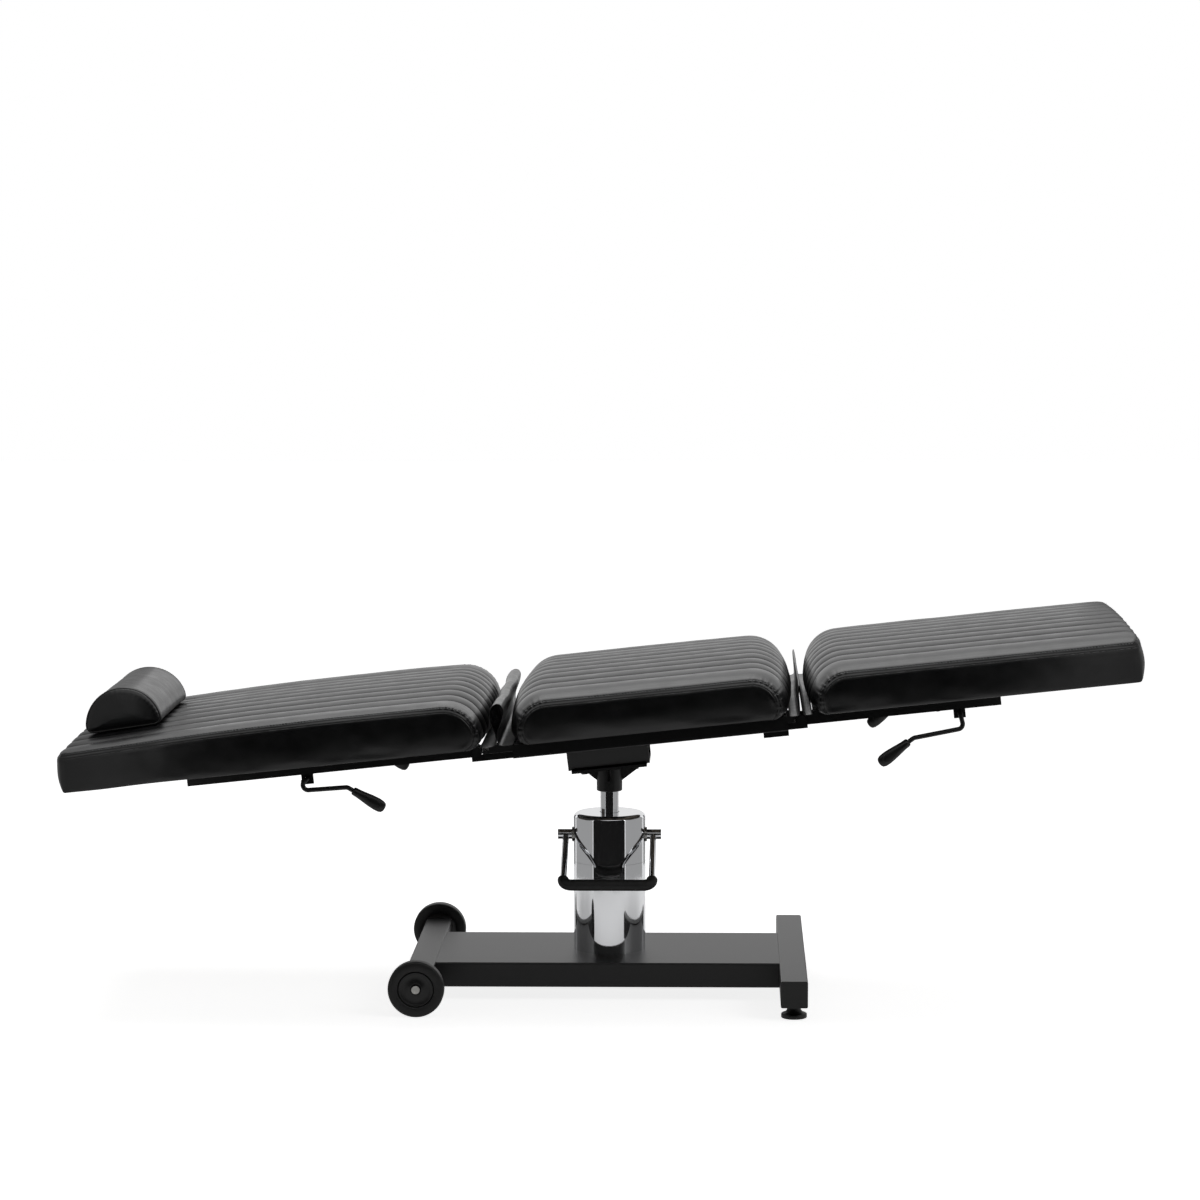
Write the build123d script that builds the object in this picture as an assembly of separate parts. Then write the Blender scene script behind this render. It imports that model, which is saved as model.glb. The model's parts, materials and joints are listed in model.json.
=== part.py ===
from build123d import *
import math
import os

os.makedirs("parts", exist_ok=True)

# Bed: three pads in one line, tilted up towards the foot end
bed_tilt = 6.0
bed_height = 483.7
column_offset = 9.3
bed_width = 600
seat_rear = -162
seat_length = 487
back_gap = 42
back_length = 727
leg_gap = 18.5
leg_length = 575

# Pads
back_thickness = 92
back_head_thickness = 78
seat_thickness = 93
leg_thickness = 90
waterfall_radius = 72
lower_round = 14
flute_pitch = 56
channel_count = 9
channel_depth = 4
flute_rise = 3.5
crown_drop = 6
side_seam_drop = 25
roll_reach = 34
roll_drop = 8
side_draw = 8
side_bulge = 2
end_bulge = 8
end_corner = 16
plan_corner = 20
board_thickness = 12
board_inset = 30

# Frames under the pads
seat_tube = 25
side_tube = 20
leg_tube = 22
tube_wall = 2
rail_corner = 2
seat_rail_spread = 250
swing_rail_spread = 222
seat_rail_rear_inset = 4
seat_rail_front_inset = 15
back_rail_reach = 514
leg_rail_reach = 339
flat_bar_width = 40
flat_bar_thickness = 5
seat_middle_rear = -62
seat_middle_front = 46

# Hinges
hinge_plate = 5
hinge_side_gap = 0.5
hinge_bolt_radius = 5
hinge_head_radius = 8.5
hinge_head_height = 5
hinge_boss_radius = 9
hinge_arm_height = 11
hinge_arm_drop = 16
hinge_arm_hold = 38
back_hinge_inset = 17
leg_hinge_inset = 9.5
leg_plate_start = 60
leg_plate_inset = 17
leg_plate_depth = 37
running_fit = 0.05

# Gas springs
strut_radius = 11
strut_rod_radius = 5
strut_wall = 2
strut_cap = 4
strut_eye_radius = 12
strut_eye_width = 14
strut_pin_radius = 4
strut_open_clearance = 4.3
strut_lug_thickness = 4
strut_lug_gap = 0.5
strut_boss_radius = 9.5
strut_bar_width = 24
back_strut_drop = 28
back_strut_reach = 239
back_strut_end_drop = 36
back_strut_body = 150
leg_strut_back = 8
leg_strut_drop = 31
leg_strut_reach = 249
leg_strut_end_drop = 42
leg_strut_body = 168
strut_neck = 20
strut_rod_hidden = 60

# Release levers
lever_rod_radius = 4
lever_spread = 240
lever_bend = 9
lever_drop = 28
lever_lug_thickness = 5
lever_lug_width = 20
back_lever_place = 310
back_lever_elbow_back = 34
back_lever_elbow_drop = 17
back_lever_run = 68
back_lever_run_drop = 20
back_lever_tip = 123
back_lever_tip_drop = 60
leg_lever_place = 258
leg_lever_elbow_back = 4
leg_lever_elbow_drop = 26
leg_lever_run = 82
leg_lever_run_drop = 34
leg_lever_tip = 146
leg_lever_tip_drop = 73
grip_length = 62
grip_neck_radius = 7.5
grip_width = 22
grip_height = 12
grip_overlap = 22
lever_straight = 33

# How far along a grip each section lies, and its share of the width and height
grip_shares = ((0.35, 0.84, 1), (0.7, 1, 1), (1, 0.7, 0.52))

# Head pillow and gap flaps
pillow_width = 134
pillow_height = 71
pillow_length = 300
pillow_inset = 36
pillow_round = 8
pillow_foot = 12
flap_thickness = 4
back_fold_radius = 8
leg_fold_radius = 2.5
flap_width = 570
back_flap_height = 68
leg_flap_height = 50
flap_foot_drop = 13
flap_foot_height = 7
flap_foot_width = 400

# Column and pump
column_radius = 63.5
column_wall = 2.5
cover_mouth_gap = 1.2
column_top = 310
column_seam = 224
column_shoulder = 9
seam_gap = 0.3
rod_radius = 16
rod_exposed = 38
cylinder_radius = 42
cylinder_wall = 8
cylinder_top_gap = 16
gland_height = 14
gland_lip = 5
piston_height = 22
piston_floor_gap = 1
rod_seat_gap = 0.3
lift_travel = 130
flange_radius = 58
flange_thickness = 10
flange_bolt_circle = 50
flange_bolt_radius = 4
flange_bolt_head = 5
neck_radius = 22.5
neck_height = 36
neck_socket_depth = 30
neck_lip = 2
head_plate_length = 132
head_plate_width = 120
head_plate_thickness = 5
head_plate_drop = 91
gusset_thickness = 5
gusset_reach = 34
gusset_height = 18
saddle_length = 143
saddle_width = 124
saddle_wall = 5
saddle_flare = 10
saddle_centre = -8
saddle_bolt_radius = 4
saddle_bolt_head = 5
saddle_bolt_inset = 22

# A bolt head's radius over its shank's
bolt_head_share = 1.7

# Pump pedal
pedal_height = 270
pedal_shaft_radius = 9
pedal_shaft_half = 91
pedal_shaft_gap = 2
pedal_bush_radius = 13
pedal_bush_length = 12
pedal_arm_spread = 77
pedal_rod_radius = 5.5
pedal_reach = 130
pedal_drop = 68
pedal_bend = 14
pedal_sleeve_radius = 9
pedal_sleeve_trim = 16

# Base
base_tube = 46
base_wall = 3
base_corner = 3
foot_height = 23
base_length = 643
foot_bar_length = 600
wheel_bar_length = 506
beam_width = 280
beam_height = 43
beam_drop = 2
wheel_radius = 48
wheel_width = 23
tyre_thickness = 17
wheel_gap = 5
wheel_dish = 3
axle_radius = 6
axle_head_radius = 7
axle_head_height = 4
axle_hold = 40
axle_side_gap = 0.5
cap_thickness = 2
cap_lip = 10
foot_pad_radius = 22
foot_pad_height = 8
foot_neck_radius = 11
foot_stem_radius = 5
foot_stem_hold = 30
foot_inset = 34
foot_edge = 1
foot_seat_gap = 0.3
foot_shoulder = 2

# Overrun of every cutter past the face it cuts
over = 1

# Where the middle of a quarter arc lies between its square corner's sides
quarter_share = 1 - math.sqrt(0.5)


def bar(x0, x1, y0, y1, z0, z1):
    """Box between two corners."""
    size = Box(x1 - x0, y1 - y0, z1 - z0)
    return Pos((x0 + x1) / 2, (y0 + y1) / 2, (z0 + z1) / 2) * size


def rod(start, end, radius):
    """Round bar between two points."""
    line = Vector(end) - Vector(start)
    plane = Plane(origin=start, z_dir=line)
    return extrude(plane * Circle(radius), line.length)


def cross_rod(x, z, y0, y1, radius):
    """Round bar along Y."""
    return rod((x, y0, z), (x, y1, z), radius)


def box_tube(x0, x1, y0, y1, z0, z1, wall, along, corner=0):
    """Open box section tube along X or Y; corner rounds its long edges."""
    outer = bar(x0, x1, y0, y1, z0, z1)
    if corner:
        outer = fillet(outer.edges().filter_by(Axis.X if along == "x" else Axis.Y), corner)
    if along == "x":
        inner = bar(x0 - over, x1 + over, y0 + wall, y1 - wall, z0 + wall, z1 - wall)
    else:
        inner = bar(x0 + wall, x1 - wall, y0 - over, y1 + over, z0 + wall, z1 - wall)
    return outer - inner


def mirrored(part):
    """The piece and its twin on the far side."""
    return Compound(children=[part, mirror(part, about=Plane.XZ)])


def save(name, part, place=Location()):
    export_step(place * part, f"parts/{name}.step")


bed = Location((column_offset, 0, bed_height), (0, -bed_tilt, 0))
column = Location((column_offset, 0, 0))
seat_front = seat_rear + seat_length
back_end = seat_rear - back_gap
head_end = back_end - back_length
leg_start = seat_front + leg_gap
leg_end = leg_start + leg_length


# Pads
def pad_section(thickness):
    """Half outline mirrored into the pad's cross-section, with one arc per flute."""
    half = bed_width / 2
    last = flute_pitch * (channel_count - 1) / 2

    def surface(y):
        return thickness - crown_drop * (y / last) ** 2

    seam = (half - side_bulge, thickness - side_seam_drop)
    foot = (half - side_draw, 0)
    waist = (half, (thickness - side_seam_drop) / 2)
    ditches = [-last + flute_pitch * i for i in range(channel_count)]
    edges = [Line((-foot[0], 0), foot)]
    edges.append(ThreePointArc(foot, waist, seam))
    right = (last, surface(last) - channel_depth)
    roll = (half - roll_reach, surface(last) - roll_drop)
    edges.append(ThreePointArc(seam, roll, right))
    for y in reversed(ditches[:-1]):
        start = (y + flute_pitch, surface(y + flute_pitch) - channel_depth)
        end = (y, surface(y) - channel_depth)
        crest_y = y + flute_pitch / 2
        crest = (crest_y, surface(crest_y) - channel_depth + flute_rise)
        edges.append(ThreePointArc(start, crest, end))
    left = (-last, surface(last) - channel_depth)
    edges.append(ThreePointArc(left, (-roll[0], roll[1]), (-seam[0], seam[1])))
    edges.append(ThreePointArc((-seam[0], seam[1]), (-waist[0], waist[1]), (-foot[0], 0)))
    return make_face(edges)


def section_at(x, thickness):
    """Cross-section standing across the bed at x."""
    plane = Plane(origin=(x, 0, 0), x_dir=(0, 1, 0), z_dir=(1, 0, 0))
    return plane * pad_section(thickness)


def waterfall_end(x, thickness, side):
    """Quarter roll of the fluted section over the end at x; side is 1 or -1."""
    root = x - side * waterfall_radius
    hub = thickness - waterfall_radius
    upper = section_at(root, thickness)
    floor = bar(root - over, root + over, -bed_width, bed_width, -bed_width, hub)
    rolled = revolve(upper - floor, Axis((root, 0, hub), (0, 1, 0)), side * 90)
    half = bed_width / 2 - side_draw
    edge = x - side * side_bulge
    block = bar(min(root, edge), max(root, edge), -half, half, 0, hub)
    corner = block.edges().filter_by(Axis.Y).sort_by(Axis.Z)[:2].sort_by(Axis.X)
    block = fillet(corner[-1] if side > 0 else corner[0], min(lower_round, hub - over))
    return rolled + block


def boxed_end_trim(x, thickness, side, far):
    """Keeps the bulged end face, its rolled top edge and the plan corners."""
    tall = thickness + crown_drop
    bottom = (x - side * end_bulge, -over)
    belly = (x, thickness / 2)
    brow = (x - side * end_bulge, thickness - end_corner)
    crest = (x - side * (end_bulge + end_corner), thickness)
    knee = (x - side * (end_bulge + end_corner * quarter_share),
            thickness - end_corner * quarter_share)
    lines = [
        ThreePointArc(bottom, belly, brow),
        ThreePointArc(brow, knee, crest),
        Polyline(crest, (crest[0], tall), (far, tall), (far, -over), bottom),
    ]
    profile = Plane.XZ * make_face(lines)
    side_view = extrude(profile, bed_width, both=True)
    span = abs(far - x)
    plan = Pos(x - side * span / 2, 0) * RectangleRounded(span, bed_width, plan_corner)
    plan_view = Pos(0, 0, -over) * extrude(plan, tall + 2 * over)
    return side_view & plan_view


def board_space(x0, x1):
    half = bed_width / 2 - board_inset
    return bar(x0, x1, -half, half, 0, board_thickness)


def seat_pad():
    root_rear = seat_rear + waterfall_radius
    root_front = seat_front - waterfall_radius
    middle = extrude(section_at(root_rear, seat_thickness), root_front - root_rear)
    rear = waterfall_end(seat_rear, seat_thickness, -1)
    front = waterfall_end(seat_front, seat_thickness, 1)
    return middle + rear + front


def back_pad():
    root = back_end - waterfall_radius
    far = head_end - over
    slope = (back_thickness - back_head_thickness) / (root - head_end)
    low = back_head_thickness - slope * over
    middle = loft([section_at(far, low), section_at(root, back_thickness)], ruled=True)
    body = middle + waterfall_end(back_end, back_thickness, 1)
    far_side = back_end + plan_corner * 2
    return body & boxed_end_trim(head_end, back_head_thickness, -1, far_side)


def leg_pad():
    root = leg_start + waterfall_radius
    middle = extrude(section_at(root, leg_thickness), leg_end + over - root)
    body = middle + waterfall_end(leg_start, leg_thickness, -1)
    far_side = leg_start - plan_corner * 2
    return body & boxed_end_trim(leg_end, leg_thickness, 1, far_side)


seat_board = board_space(seat_rear + board_inset, seat_front - board_inset)
back_board = board_space(head_end + board_inset, back_end - board_inset)
leg_board = board_space(leg_start + board_inset, leg_end - board_inset)
save("seat_board", seat_board, bed)
save("back_board", back_board, bed)
save("leg_board", leg_board, bed)
save("seat_cushion", seat_pad() - seat_board, bed)
save("back_cushion", back_pad() - back_board, bed)
save("leg_cushion", leg_pad() - leg_board, bed)


# Frame rails
back_hinge = (back_end - back_hinge_inset, -side_tube / 2)
leg_hinge = (leg_start - leg_hinge_inset, -leg_tube / 2)
frame_rear = seat_rear + seat_rail_rear_inset
frame_front = seat_front - seat_rail_front_inset
rail_inside = seat_rail_spread - seat_tube / 2
plate_inside = rail_inside - hinge_plate
swing_out = plate_inside - hinge_side_gap
swing_in = swing_out - side_tube

seat_rail = box_tube(frame_rear, frame_front, -seat_rail_spread - seat_tube / 2,
                     -rail_inside, -seat_tube, 0, tube_wall, "x", rail_corner)
save("seat_rails", mirrored(seat_rail), bed)


def cross_tube(x, half_length, depth, width):
    """Cross tube centred at x, its top face on the board."""
    return box_tube(x - width / 2, x + width / 2, -half_length, half_length,
                    -depth, 0, tube_wall, "y")


rear_tube = frame_rear + seat_tube / 2
front_tube = frame_front - seat_tube / 2
seat_tubes = [
    cross_tube(rear_tube, plate_inside, seat_tube, seat_tube),
    cross_tube(seat_middle_rear, rail_inside, seat_tube, seat_tube),
    cross_tube(seat_middle_front, rail_inside, seat_tube, seat_tube),
    cross_tube(front_tube, plate_inside, seat_tube, seat_tube),
]
save("seat_cross_tubes", Compound(children=seat_tubes), bed)


def swing_rail(hinge, far, depth):
    """Rail of a swinging frame with a round drilled knuckle at its hinge."""
    x, z = hinge
    side = 1 if far > x else -1
    start = x + side * depth
    tube = box_tube(min(start, far), max(start, far), -swing_out, -swing_in,
                    -depth, 0, tube_wall, "x")
    knuckle = cross_rod(x, z, -swing_out, -swing_in, depth / 2)
    neck = bar(min(x, start), max(x, start), -swing_out, -swing_in, -depth, 0)
    bore = cross_rod(x, z, -swing_out - over, -swing_in + over,
                     hinge_bolt_radius + running_fit)
    return tube + neck + knuckle - bore


back_far = back_hinge[0] - (back_rail_reach - back_hinge_inset)
leg_far = leg_hinge[0] + leg_rail_reach
save("back_rails", mirrored(swing_rail(back_hinge, back_far, side_tube)), bed)
save("leg_rails", mirrored(swing_rail(leg_hinge, leg_far, leg_tube)), bed)


# Hinge arms and bolts
def arm_blank(x0, x1, hinge):
    x, z = hinge
    plate = bar(x0, x1, -rail_inside, -plate_inside,
                -hinge_arm_drop - hinge_arm_height, -hinge_arm_drop)
    boss = cross_rod(x, z, -rail_inside, -plate_inside, hinge_boss_radius)
    return plate + boss


def bolt_hole(hinge):
    return cross_rod(hinge[0], hinge[1], -rail_inside - over, -plate_inside + over,
                     hinge_bolt_radius)


back_arm = arm_blank(back_hinge[0] - hinge_boss_radius, frame_rear + hinge_arm_hold,
                     back_hinge) - bolt_hole(back_hinge)
leg_plate = bar(frame_front - leg_plate_start + leg_plate_inset, frame_front,
                -rail_inside, -plate_inside, -leg_plate_depth, -tube_wall)
leg_arm = arm_blank(frame_front - leg_plate_start, leg_hinge[0] + hinge_boss_radius,
                    leg_hinge) + leg_plate - bolt_hole(leg_hinge)
save("back_hinge_arms", mirrored(back_arm), bed)
save("leg_hinge_arms", mirrored(leg_arm), bed)


def hinge_bolt(hinge):
    """Bolt with its head outside the arm and its nut inside the rail."""
    x, z = hinge
    shank = cross_rod(x, z, -rail_inside, -swing_in + hinge_side_gap, hinge_bolt_radius)
    head = cross_rod(x, z, -rail_inside - hinge_head_height, -rail_inside,
                     hinge_head_radius)
    nut = cross_rod(x, z, -swing_in + hinge_side_gap,
                    -swing_in + hinge_side_gap + hinge_head_height, hinge_head_radius)
    return shank + head + nut


save("back_hinge_bolts", mirrored(hinge_bolt(back_hinge)), bed)
save("leg_hinge_bolts", mirrored(hinge_bolt(leg_hinge)), bed)


# Gas springs
strut_open_bore = strut_pin_radius + strut_open_clearance
lug_inside = strut_eye_width / 2 + strut_lug_gap
lug_outside = lug_inside + strut_lug_thickness


def strut_cylinder(base, tip, body):
    """Cylinder with its eye at the fixed pin, lying along the line base to tip."""
    axis = Vector(tip[0] - base[0], 0, tip[1] - base[1]).normalized()
    origin = Vector(base[0], 0, base[1])
    half = strut_eye_width / 2
    eye = cross_rod(base[0], base[1], -half, half, strut_eye_radius)
    start = origin + axis * (strut_eye_radius - over)
    shoulder = origin + axis * strut_neck
    end = origin + axis * (strut_neck + body)
    stem = rod(start, shoulder + axis * over, strut_rod_radius)
    shell = rod(shoulder, end, strut_radius)
    hollow = rod(shoulder + axis * strut_cap, end - axis * strut_cap,
                 strut_radius - strut_wall)
    mouth = rod(end - axis * (strut_cap + over), end + axis * over,
                strut_rod_radius + running_fit)
    pin = cross_rod(base[0], base[1], -half - over, half + over,
                    strut_pin_radius + running_fit)
    return eye + stem + shell - hollow - mouth - pin


def strut_rod(base, tip, body):
    """Rod sliding in the cylinder, its loose eye round the moving frame's pin."""
    line = Vector(tip[0] - base[0], 0, tip[1] - base[1])
    axis = line.normalized()
    origin = Vector(base[0], 0, base[1])
    half = strut_eye_width / 2
    eye = cross_rod(tip[0], tip[1], -half, half, strut_eye_radius)
    mouth = strut_neck + body
    start = origin + axis * (mouth - strut_rod_hidden)
    end = origin + axis * (line.length - strut_eye_radius + over)
    piston = rod(start, start + axis * strut_eye_radius,
                 strut_radius - strut_wall - running_fit)
    shaft = rod(start, end, strut_rod_radius)
    bore = cross_rod(tip[0], tip[1], -half - over, half + over, strut_open_bore)
    return piston + shaft + eye - bore


back_base = (back_hinge[0], back_hinge[1] - back_strut_drop)
back_tip = (back_hinge[0] - back_strut_reach, -back_strut_end_drop)
leg_base = (leg_hinge[0] - leg_strut_back, leg_hinge[1] - leg_strut_drop)
leg_tip = (leg_base[0] + leg_strut_reach, -leg_strut_end_drop)
save("back_strut_cylinder", strut_cylinder(back_base, back_tip, back_strut_body), bed)
save("back_strut_rod", strut_rod(back_base, back_tip, back_strut_body), bed)
save("leg_strut_cylinder", strut_cylinder(leg_base, leg_tip, leg_strut_body), bed)
save("leg_strut_rod", strut_rod(leg_base, leg_tip, leg_strut_body), bed)


def seat_lug(base, x_tube):
    """Plate from the bottom of a seat cross tube to a gas spring's fixed pin."""
    x, z = base
    points = [
        (x_tube - seat_tube / 2, -seat_tube),
        (x_tube + seat_tube / 2, -seat_tube),
        (x_tube + seat_tube / 2, z - strut_eye_radius / 2),
        (x, z - strut_eye_radius),
        (x, z + strut_eye_radius / 2),
        (x_tube - seat_tube / 2, -seat_tube - strut_eye_radius / 2),
    ]
    if x > x_tube:
        points = [
            (x_tube - seat_tube / 2, -seat_tube),
            (x_tube + seat_tube / 2, -seat_tube),
            (x + strut_eye_radius / 2, z + strut_eye_radius / 2),
            (x + strut_eye_radius / 2, z - strut_eye_radius),
            (x_tube - seat_tube / 2, z - strut_eye_radius),
        ]
    face = Plane.XZ * make_face(Polyline(*points, close=True))
    plate = Pos(0, -lug_inside, 0) * extrude(face, strut_lug_thickness)
    plate += cross_rod(x, z, -lug_outside, -lug_inside, strut_boss_radius)
    hole = cross_rod(x, z, -lug_outside - over, -lug_inside + over, strut_pin_radius)
    return plate - hole


back_lugs = mirrored(seat_lug(back_base, rear_tube))
leg_lugs = mirrored(seat_lug(leg_base, front_tube))
save("seat_strut_lugs", Compound(children=[*back_lugs.solids(), *leg_lugs.solids()]), bed)


def strut_pin(base):
    half = lug_outside + strut_lug_thickness / 2
    return cross_rod(base[0], base[1], -half, half, strut_pin_radius)


save("seat_strut_pins", Compound(children=[strut_pin(back_base), strut_pin(leg_base)]), bed)


def swing_bracket(tip, side):
    """Two ears under the swinging frame's cross tube with the pin between them."""
    x, z = tip
    ear = bar(x - strut_eye_radius, x + strut_eye_radius, -lug_outside, -lug_inside,
              z - strut_pin_radius * 2, -side)
    pin = cross_rod(x, z, -lug_inside, lug_inside, strut_pin_radius)
    return ear + mirror(ear, about=Plane.XZ) + pin


save("back_strut_bracket", swing_bracket(back_tip, side_tube), bed)
save("leg_strut_bracket", swing_bracket(leg_tip, leg_tube), bed)


def flat_bar(x):
    return bar(x - flat_bar_width / 2, x + flat_bar_width / 2, -swing_in, swing_in,
               -flat_bar_thickness, 0)


back_bars = [
    cross_tube(back_tip[0], swing_in, side_tube, strut_bar_width),
    flat_bar(back_hinge[0] - flat_bar_width),
    flat_bar(back_far + flat_bar_width / 2),
]
leg_bars = [
    cross_tube(leg_tip[0], swing_in, leg_tube, strut_bar_width),
    flat_bar(leg_hinge[0] + flat_bar_width),
    flat_bar(leg_far - flat_bar_width / 2),
]
save("back_cross_bars", Compound(children=back_bars), bed)
save("leg_cross_bars", Compound(children=leg_bars), bed)


# Release levers
def lever_path(pivot, side, elbow, run, tip):
    """Bent rod: near arm, cross rod in the lugs, far arm."""
    x, z = pivot
    arm = [
        (x + side * tip[0], -lever_spread, z - tip[1]),
        (x + side * run[0], -lever_spread, z - run[1]),
        (x - side * elbow[0], -lever_spread, z - elbow[1]),
        (x, -lever_spread, z),
    ]
    start = Vector(*arm[1])
    reach = (Vector(*arm[0]) - start).normalized()
    arm[0] = tuple(start + reach * lever_straight)
    far = [(px, -py, pz) for px, py, pz in reversed(arm)]
    return FilletPolyline(*arm, *far, radius=lever_bend)


def lever_rod(path):
    plane = Plane(origin=path @ 0, z_dir=path % 0)
    return sweep(plane * Circle(lever_rod_radius), path)


def grip(path, pivot, side, tip):
    """Spoon-shaped grip: round neck, wide rounded paddle, blind hole for the rod."""
    end = path @ 0
    run = Vector(pivot[0] + side * tip[0], -lever_spread, pivot[1] - tip[1]) - end
    axis = run.normalized()
    start = end - axis * grip_overlap
    plane = Plane(origin=start, x_dir=(0, 1, 0), z_dir=axis)
    sections = [plane * Circle(grip_neck_radius)]
    for along, wide, high in grip_shares:
        oval = Ellipse(grip_height / 2 * high, grip_width / 2 * wide)
        sections.append(plane.offset(grip_length * along) * oval)
    body = loft(sections)
    hole = rod(start - axis * over, end, lever_rod_radius)
    return body - hole


def lever_lug(pivot, depth):
    """Drilled ear under a rail with the cross rod running through it."""
    x, z = pivot
    half = lever_lug_width / 2
    middle = (swing_in + swing_out) / 2
    y0 = -middle - lever_lug_thickness / 2
    ear = bar(x - half, x + half, y0, y0 + lever_lug_thickness, z - half, -depth)
    hole = cross_rod(x, z, y0 - over, y0 + lever_lug_thickness + over,
                     lever_rod_radius + running_fit)
    return ear - hole


def release_lever(name, pivot, side, elbow, run, tip, depth):
    path = lever_path(pivot, side, elbow, run, tip)
    save(f"{name}_release_rod", lever_rod(path), bed)
    save(f"{name}_release_grips", mirrored(grip(path, pivot, side, tip)), bed)
    save(f"{name}_lever_lugs", mirrored(lever_lug(pivot, depth)), bed)


back_pivot = (back_end - back_lever_place, -lever_drop)
leg_pivot = (leg_start + leg_lever_place, -lever_drop)
release_lever("back", back_pivot, 1, (back_lever_elbow_back, back_lever_elbow_drop),
              (back_lever_run, back_lever_run_drop), (back_lever_tip, back_lever_tip_drop),
              side_tube)
release_lever("leg", leg_pivot, -1, (leg_lever_elbow_back, leg_lever_elbow_drop),
              (leg_lever_run, leg_lever_run_drop), (leg_lever_tip, leg_lever_tip_drop),
              leg_tube)


# Head pillow, lying on the crests of the flutes
def pillow_outline():
    half = pillow_width / 2
    low = (half, pillow_foot)
    high = (0, pillow_height)
    arc = ThreePointArc(low, high, (-half, pillow_foot))
    left = (-half + pillow_round, 0)
    right = (half - pillow_round, 0)
    inset = half - pillow_round * quarter_share
    lift = pillow_foot * quarter_share
    side_left = ThreePointArc((-half, pillow_foot), (-inset, lift), left)
    side_right = ThreePointArc(right, (inset, lift), low)
    return make_face([arc, side_left, Line(left, right), side_right])


pillow_x = head_end + pillow_inset + pillow_width / 2
slope = (back_thickness - back_head_thickness) / (back_length - waterfall_radius)
crest = back_head_thickness + slope * (pillow_x - head_end) - channel_depth + flute_rise
pillow = extrude(Plane.XZ * pillow_outline(), pillow_length / 2, both=True)
pillow = fillet(pillow.faces().filter_by(Axis.Y).edges(), pillow_round / 2)
pillow_lean = math.degrees(math.atan(slope))
pillow_place = Location((pillow_x, 0, crest), (0, -pillow_lean, 0))
save("head_pillow", pillow_place * pillow, bed)


# Gap flaps, folded leatherette held on the seat frame
def gap_flap(tube_face, pad_face, swing_face, height, fold_radius):
    middle = (pad_face + swing_face) / 2
    half = flap_thickness / 2
    foot = bar(min(tube_face, middle), max(tube_face, middle), -flap_foot_width / 2,
               flap_foot_width / 2, -flap_foot_drop, -flap_foot_drop + flap_foot_height)
    neck = bar(middle - half, middle + half, -flap_foot_width / 2, flap_foot_width / 2,
               -flap_foot_drop, lower_round)
    blade = bar(middle - half, middle + half, -flap_width / 2, flap_width / 2,
                lower_round / 2, height)
    fold = cross_rod(middle, height, -flap_width / 2, flap_width / 2, fold_radius)
    return foot + neck + blade + fold


back_flap = gap_flap(frame_rear, seat_rear, back_end, back_flap_height, back_fold_radius)
leg_flap = gap_flap(frame_front, seat_front, leg_start, leg_flap_height, leg_fold_radius)
save("back_gap_flap", back_flap, bed)
save("leg_gap_flap", leg_flap, bed)


# Pump head, neck and saddle under the seat frame
neck_bottom = column_top + rod_exposed
neck_top = neck_bottom + neck_height
saddle_floor = -head_plate_drop + head_plate_thickness
tilted_plate = bar(saddle_centre - head_plate_length / 2, saddle_centre + head_plate_length / 2,
                   -head_plate_width / 2, head_plate_width / 2,
                   -head_plate_drop, saddle_floor)
saddle_bolts_at = [
    (saddle_centre + i * (head_plate_length / 2 - saddle_bolt_inset),
     j * (head_plate_width / 2 - saddle_bolt_inset))
    for i in (-1, 1) for j in (-1, 1)
]
for x, y in saddle_bolts_at:
    tilted_plate -= rod((x, y, -head_plate_drop - over), (x, y, saddle_floor + over),
                        saddle_bolt_radius)

socket = rod((0, 0, neck_bottom), (0, 0, neck_top), neck_radius)
socket = fillet(socket.edges().sort_by(Axis.Z)[0], neck_lip)
socket -= rod((0, 0, neck_bottom - over), (0, 0, neck_bottom + neck_socket_depth),
              rod_radius + running_fit)


def gusset(turn):
    """Web from the neck out to the underside of the head plate."""
    low = neck_top - gusset_height
    high = bed_height - head_plate_drop
    points = [(neck_radius - over, low), (neck_radius + gusset_reach, high),
              (neck_radius + gusset_reach, high + gusset_height), (0, high + gusset_height),
              (0, low)]
    face = Plane.XZ * make_face(Polyline(*points, close=True))
    web = extrude(face, gusset_thickness / 2, both=True)
    return Rot(0, 0, turn) * web


def below_plate(part):
    """What lies under the tilted plate, in the column's frame."""
    reach = bed_width
    wedge = bar(-reach, reach, -reach, reach, -head_plate_drop - reach, -head_plate_drop)
    return part & (Rot(0, -bed_tilt, 0) * wedge).moved(Location((0, 0, bed_height)))


webs = [gusset(turn) for turn in (0, 90, 180, 270)]
stalk = rod((0, 0, neck_top - over), (0, 0, bed_height), neck_radius)
head = stalk + webs[0] + webs[1] + webs[2] + webs[3]
bore = rod((0, 0, neck_bottom - over), (0, 0, neck_bottom + neck_socket_depth),
           rod_radius + running_fit)
head = below_plate(head) - bore + socket
plate = (Rot(0, -bed_tilt, 0) * tilted_plate).moved(Location((0, 0, bed_height)))
save("pump_head", head + plate, column)


def saddle():
    """Channel with sides flared outwards, from the head plate up to the seat tubes."""
    low = saddle_width / 2 - saddle_flare
    high = saddle_width / 2
    top = -seat_tube
    outer = Polyline((-high, top), (-low, saddle_floor), (low, saddle_floor), (high, top),
                     (high - saddle_wall, top), (low - saddle_wall, saddle_floor + saddle_wall),
                     (-low + saddle_wall, saddle_floor + saddle_wall),
                     (-high + saddle_wall, top), close=True)
    plane = Plane(origin=(saddle_centre - saddle_length / 2, 0, 0), x_dir=(0, 1, 0),
                  z_dir=(1, 0, 0))
    body = extrude(plane * make_face(outer), saddle_length)
    for x, y in saddle_bolts_at:
        body -= rod((x, y, saddle_floor - over), (x, y, saddle_floor + saddle_wall + over),
                    saddle_bolt_radius)
    return body


save("saddle_channel", saddle(), bed)


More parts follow.
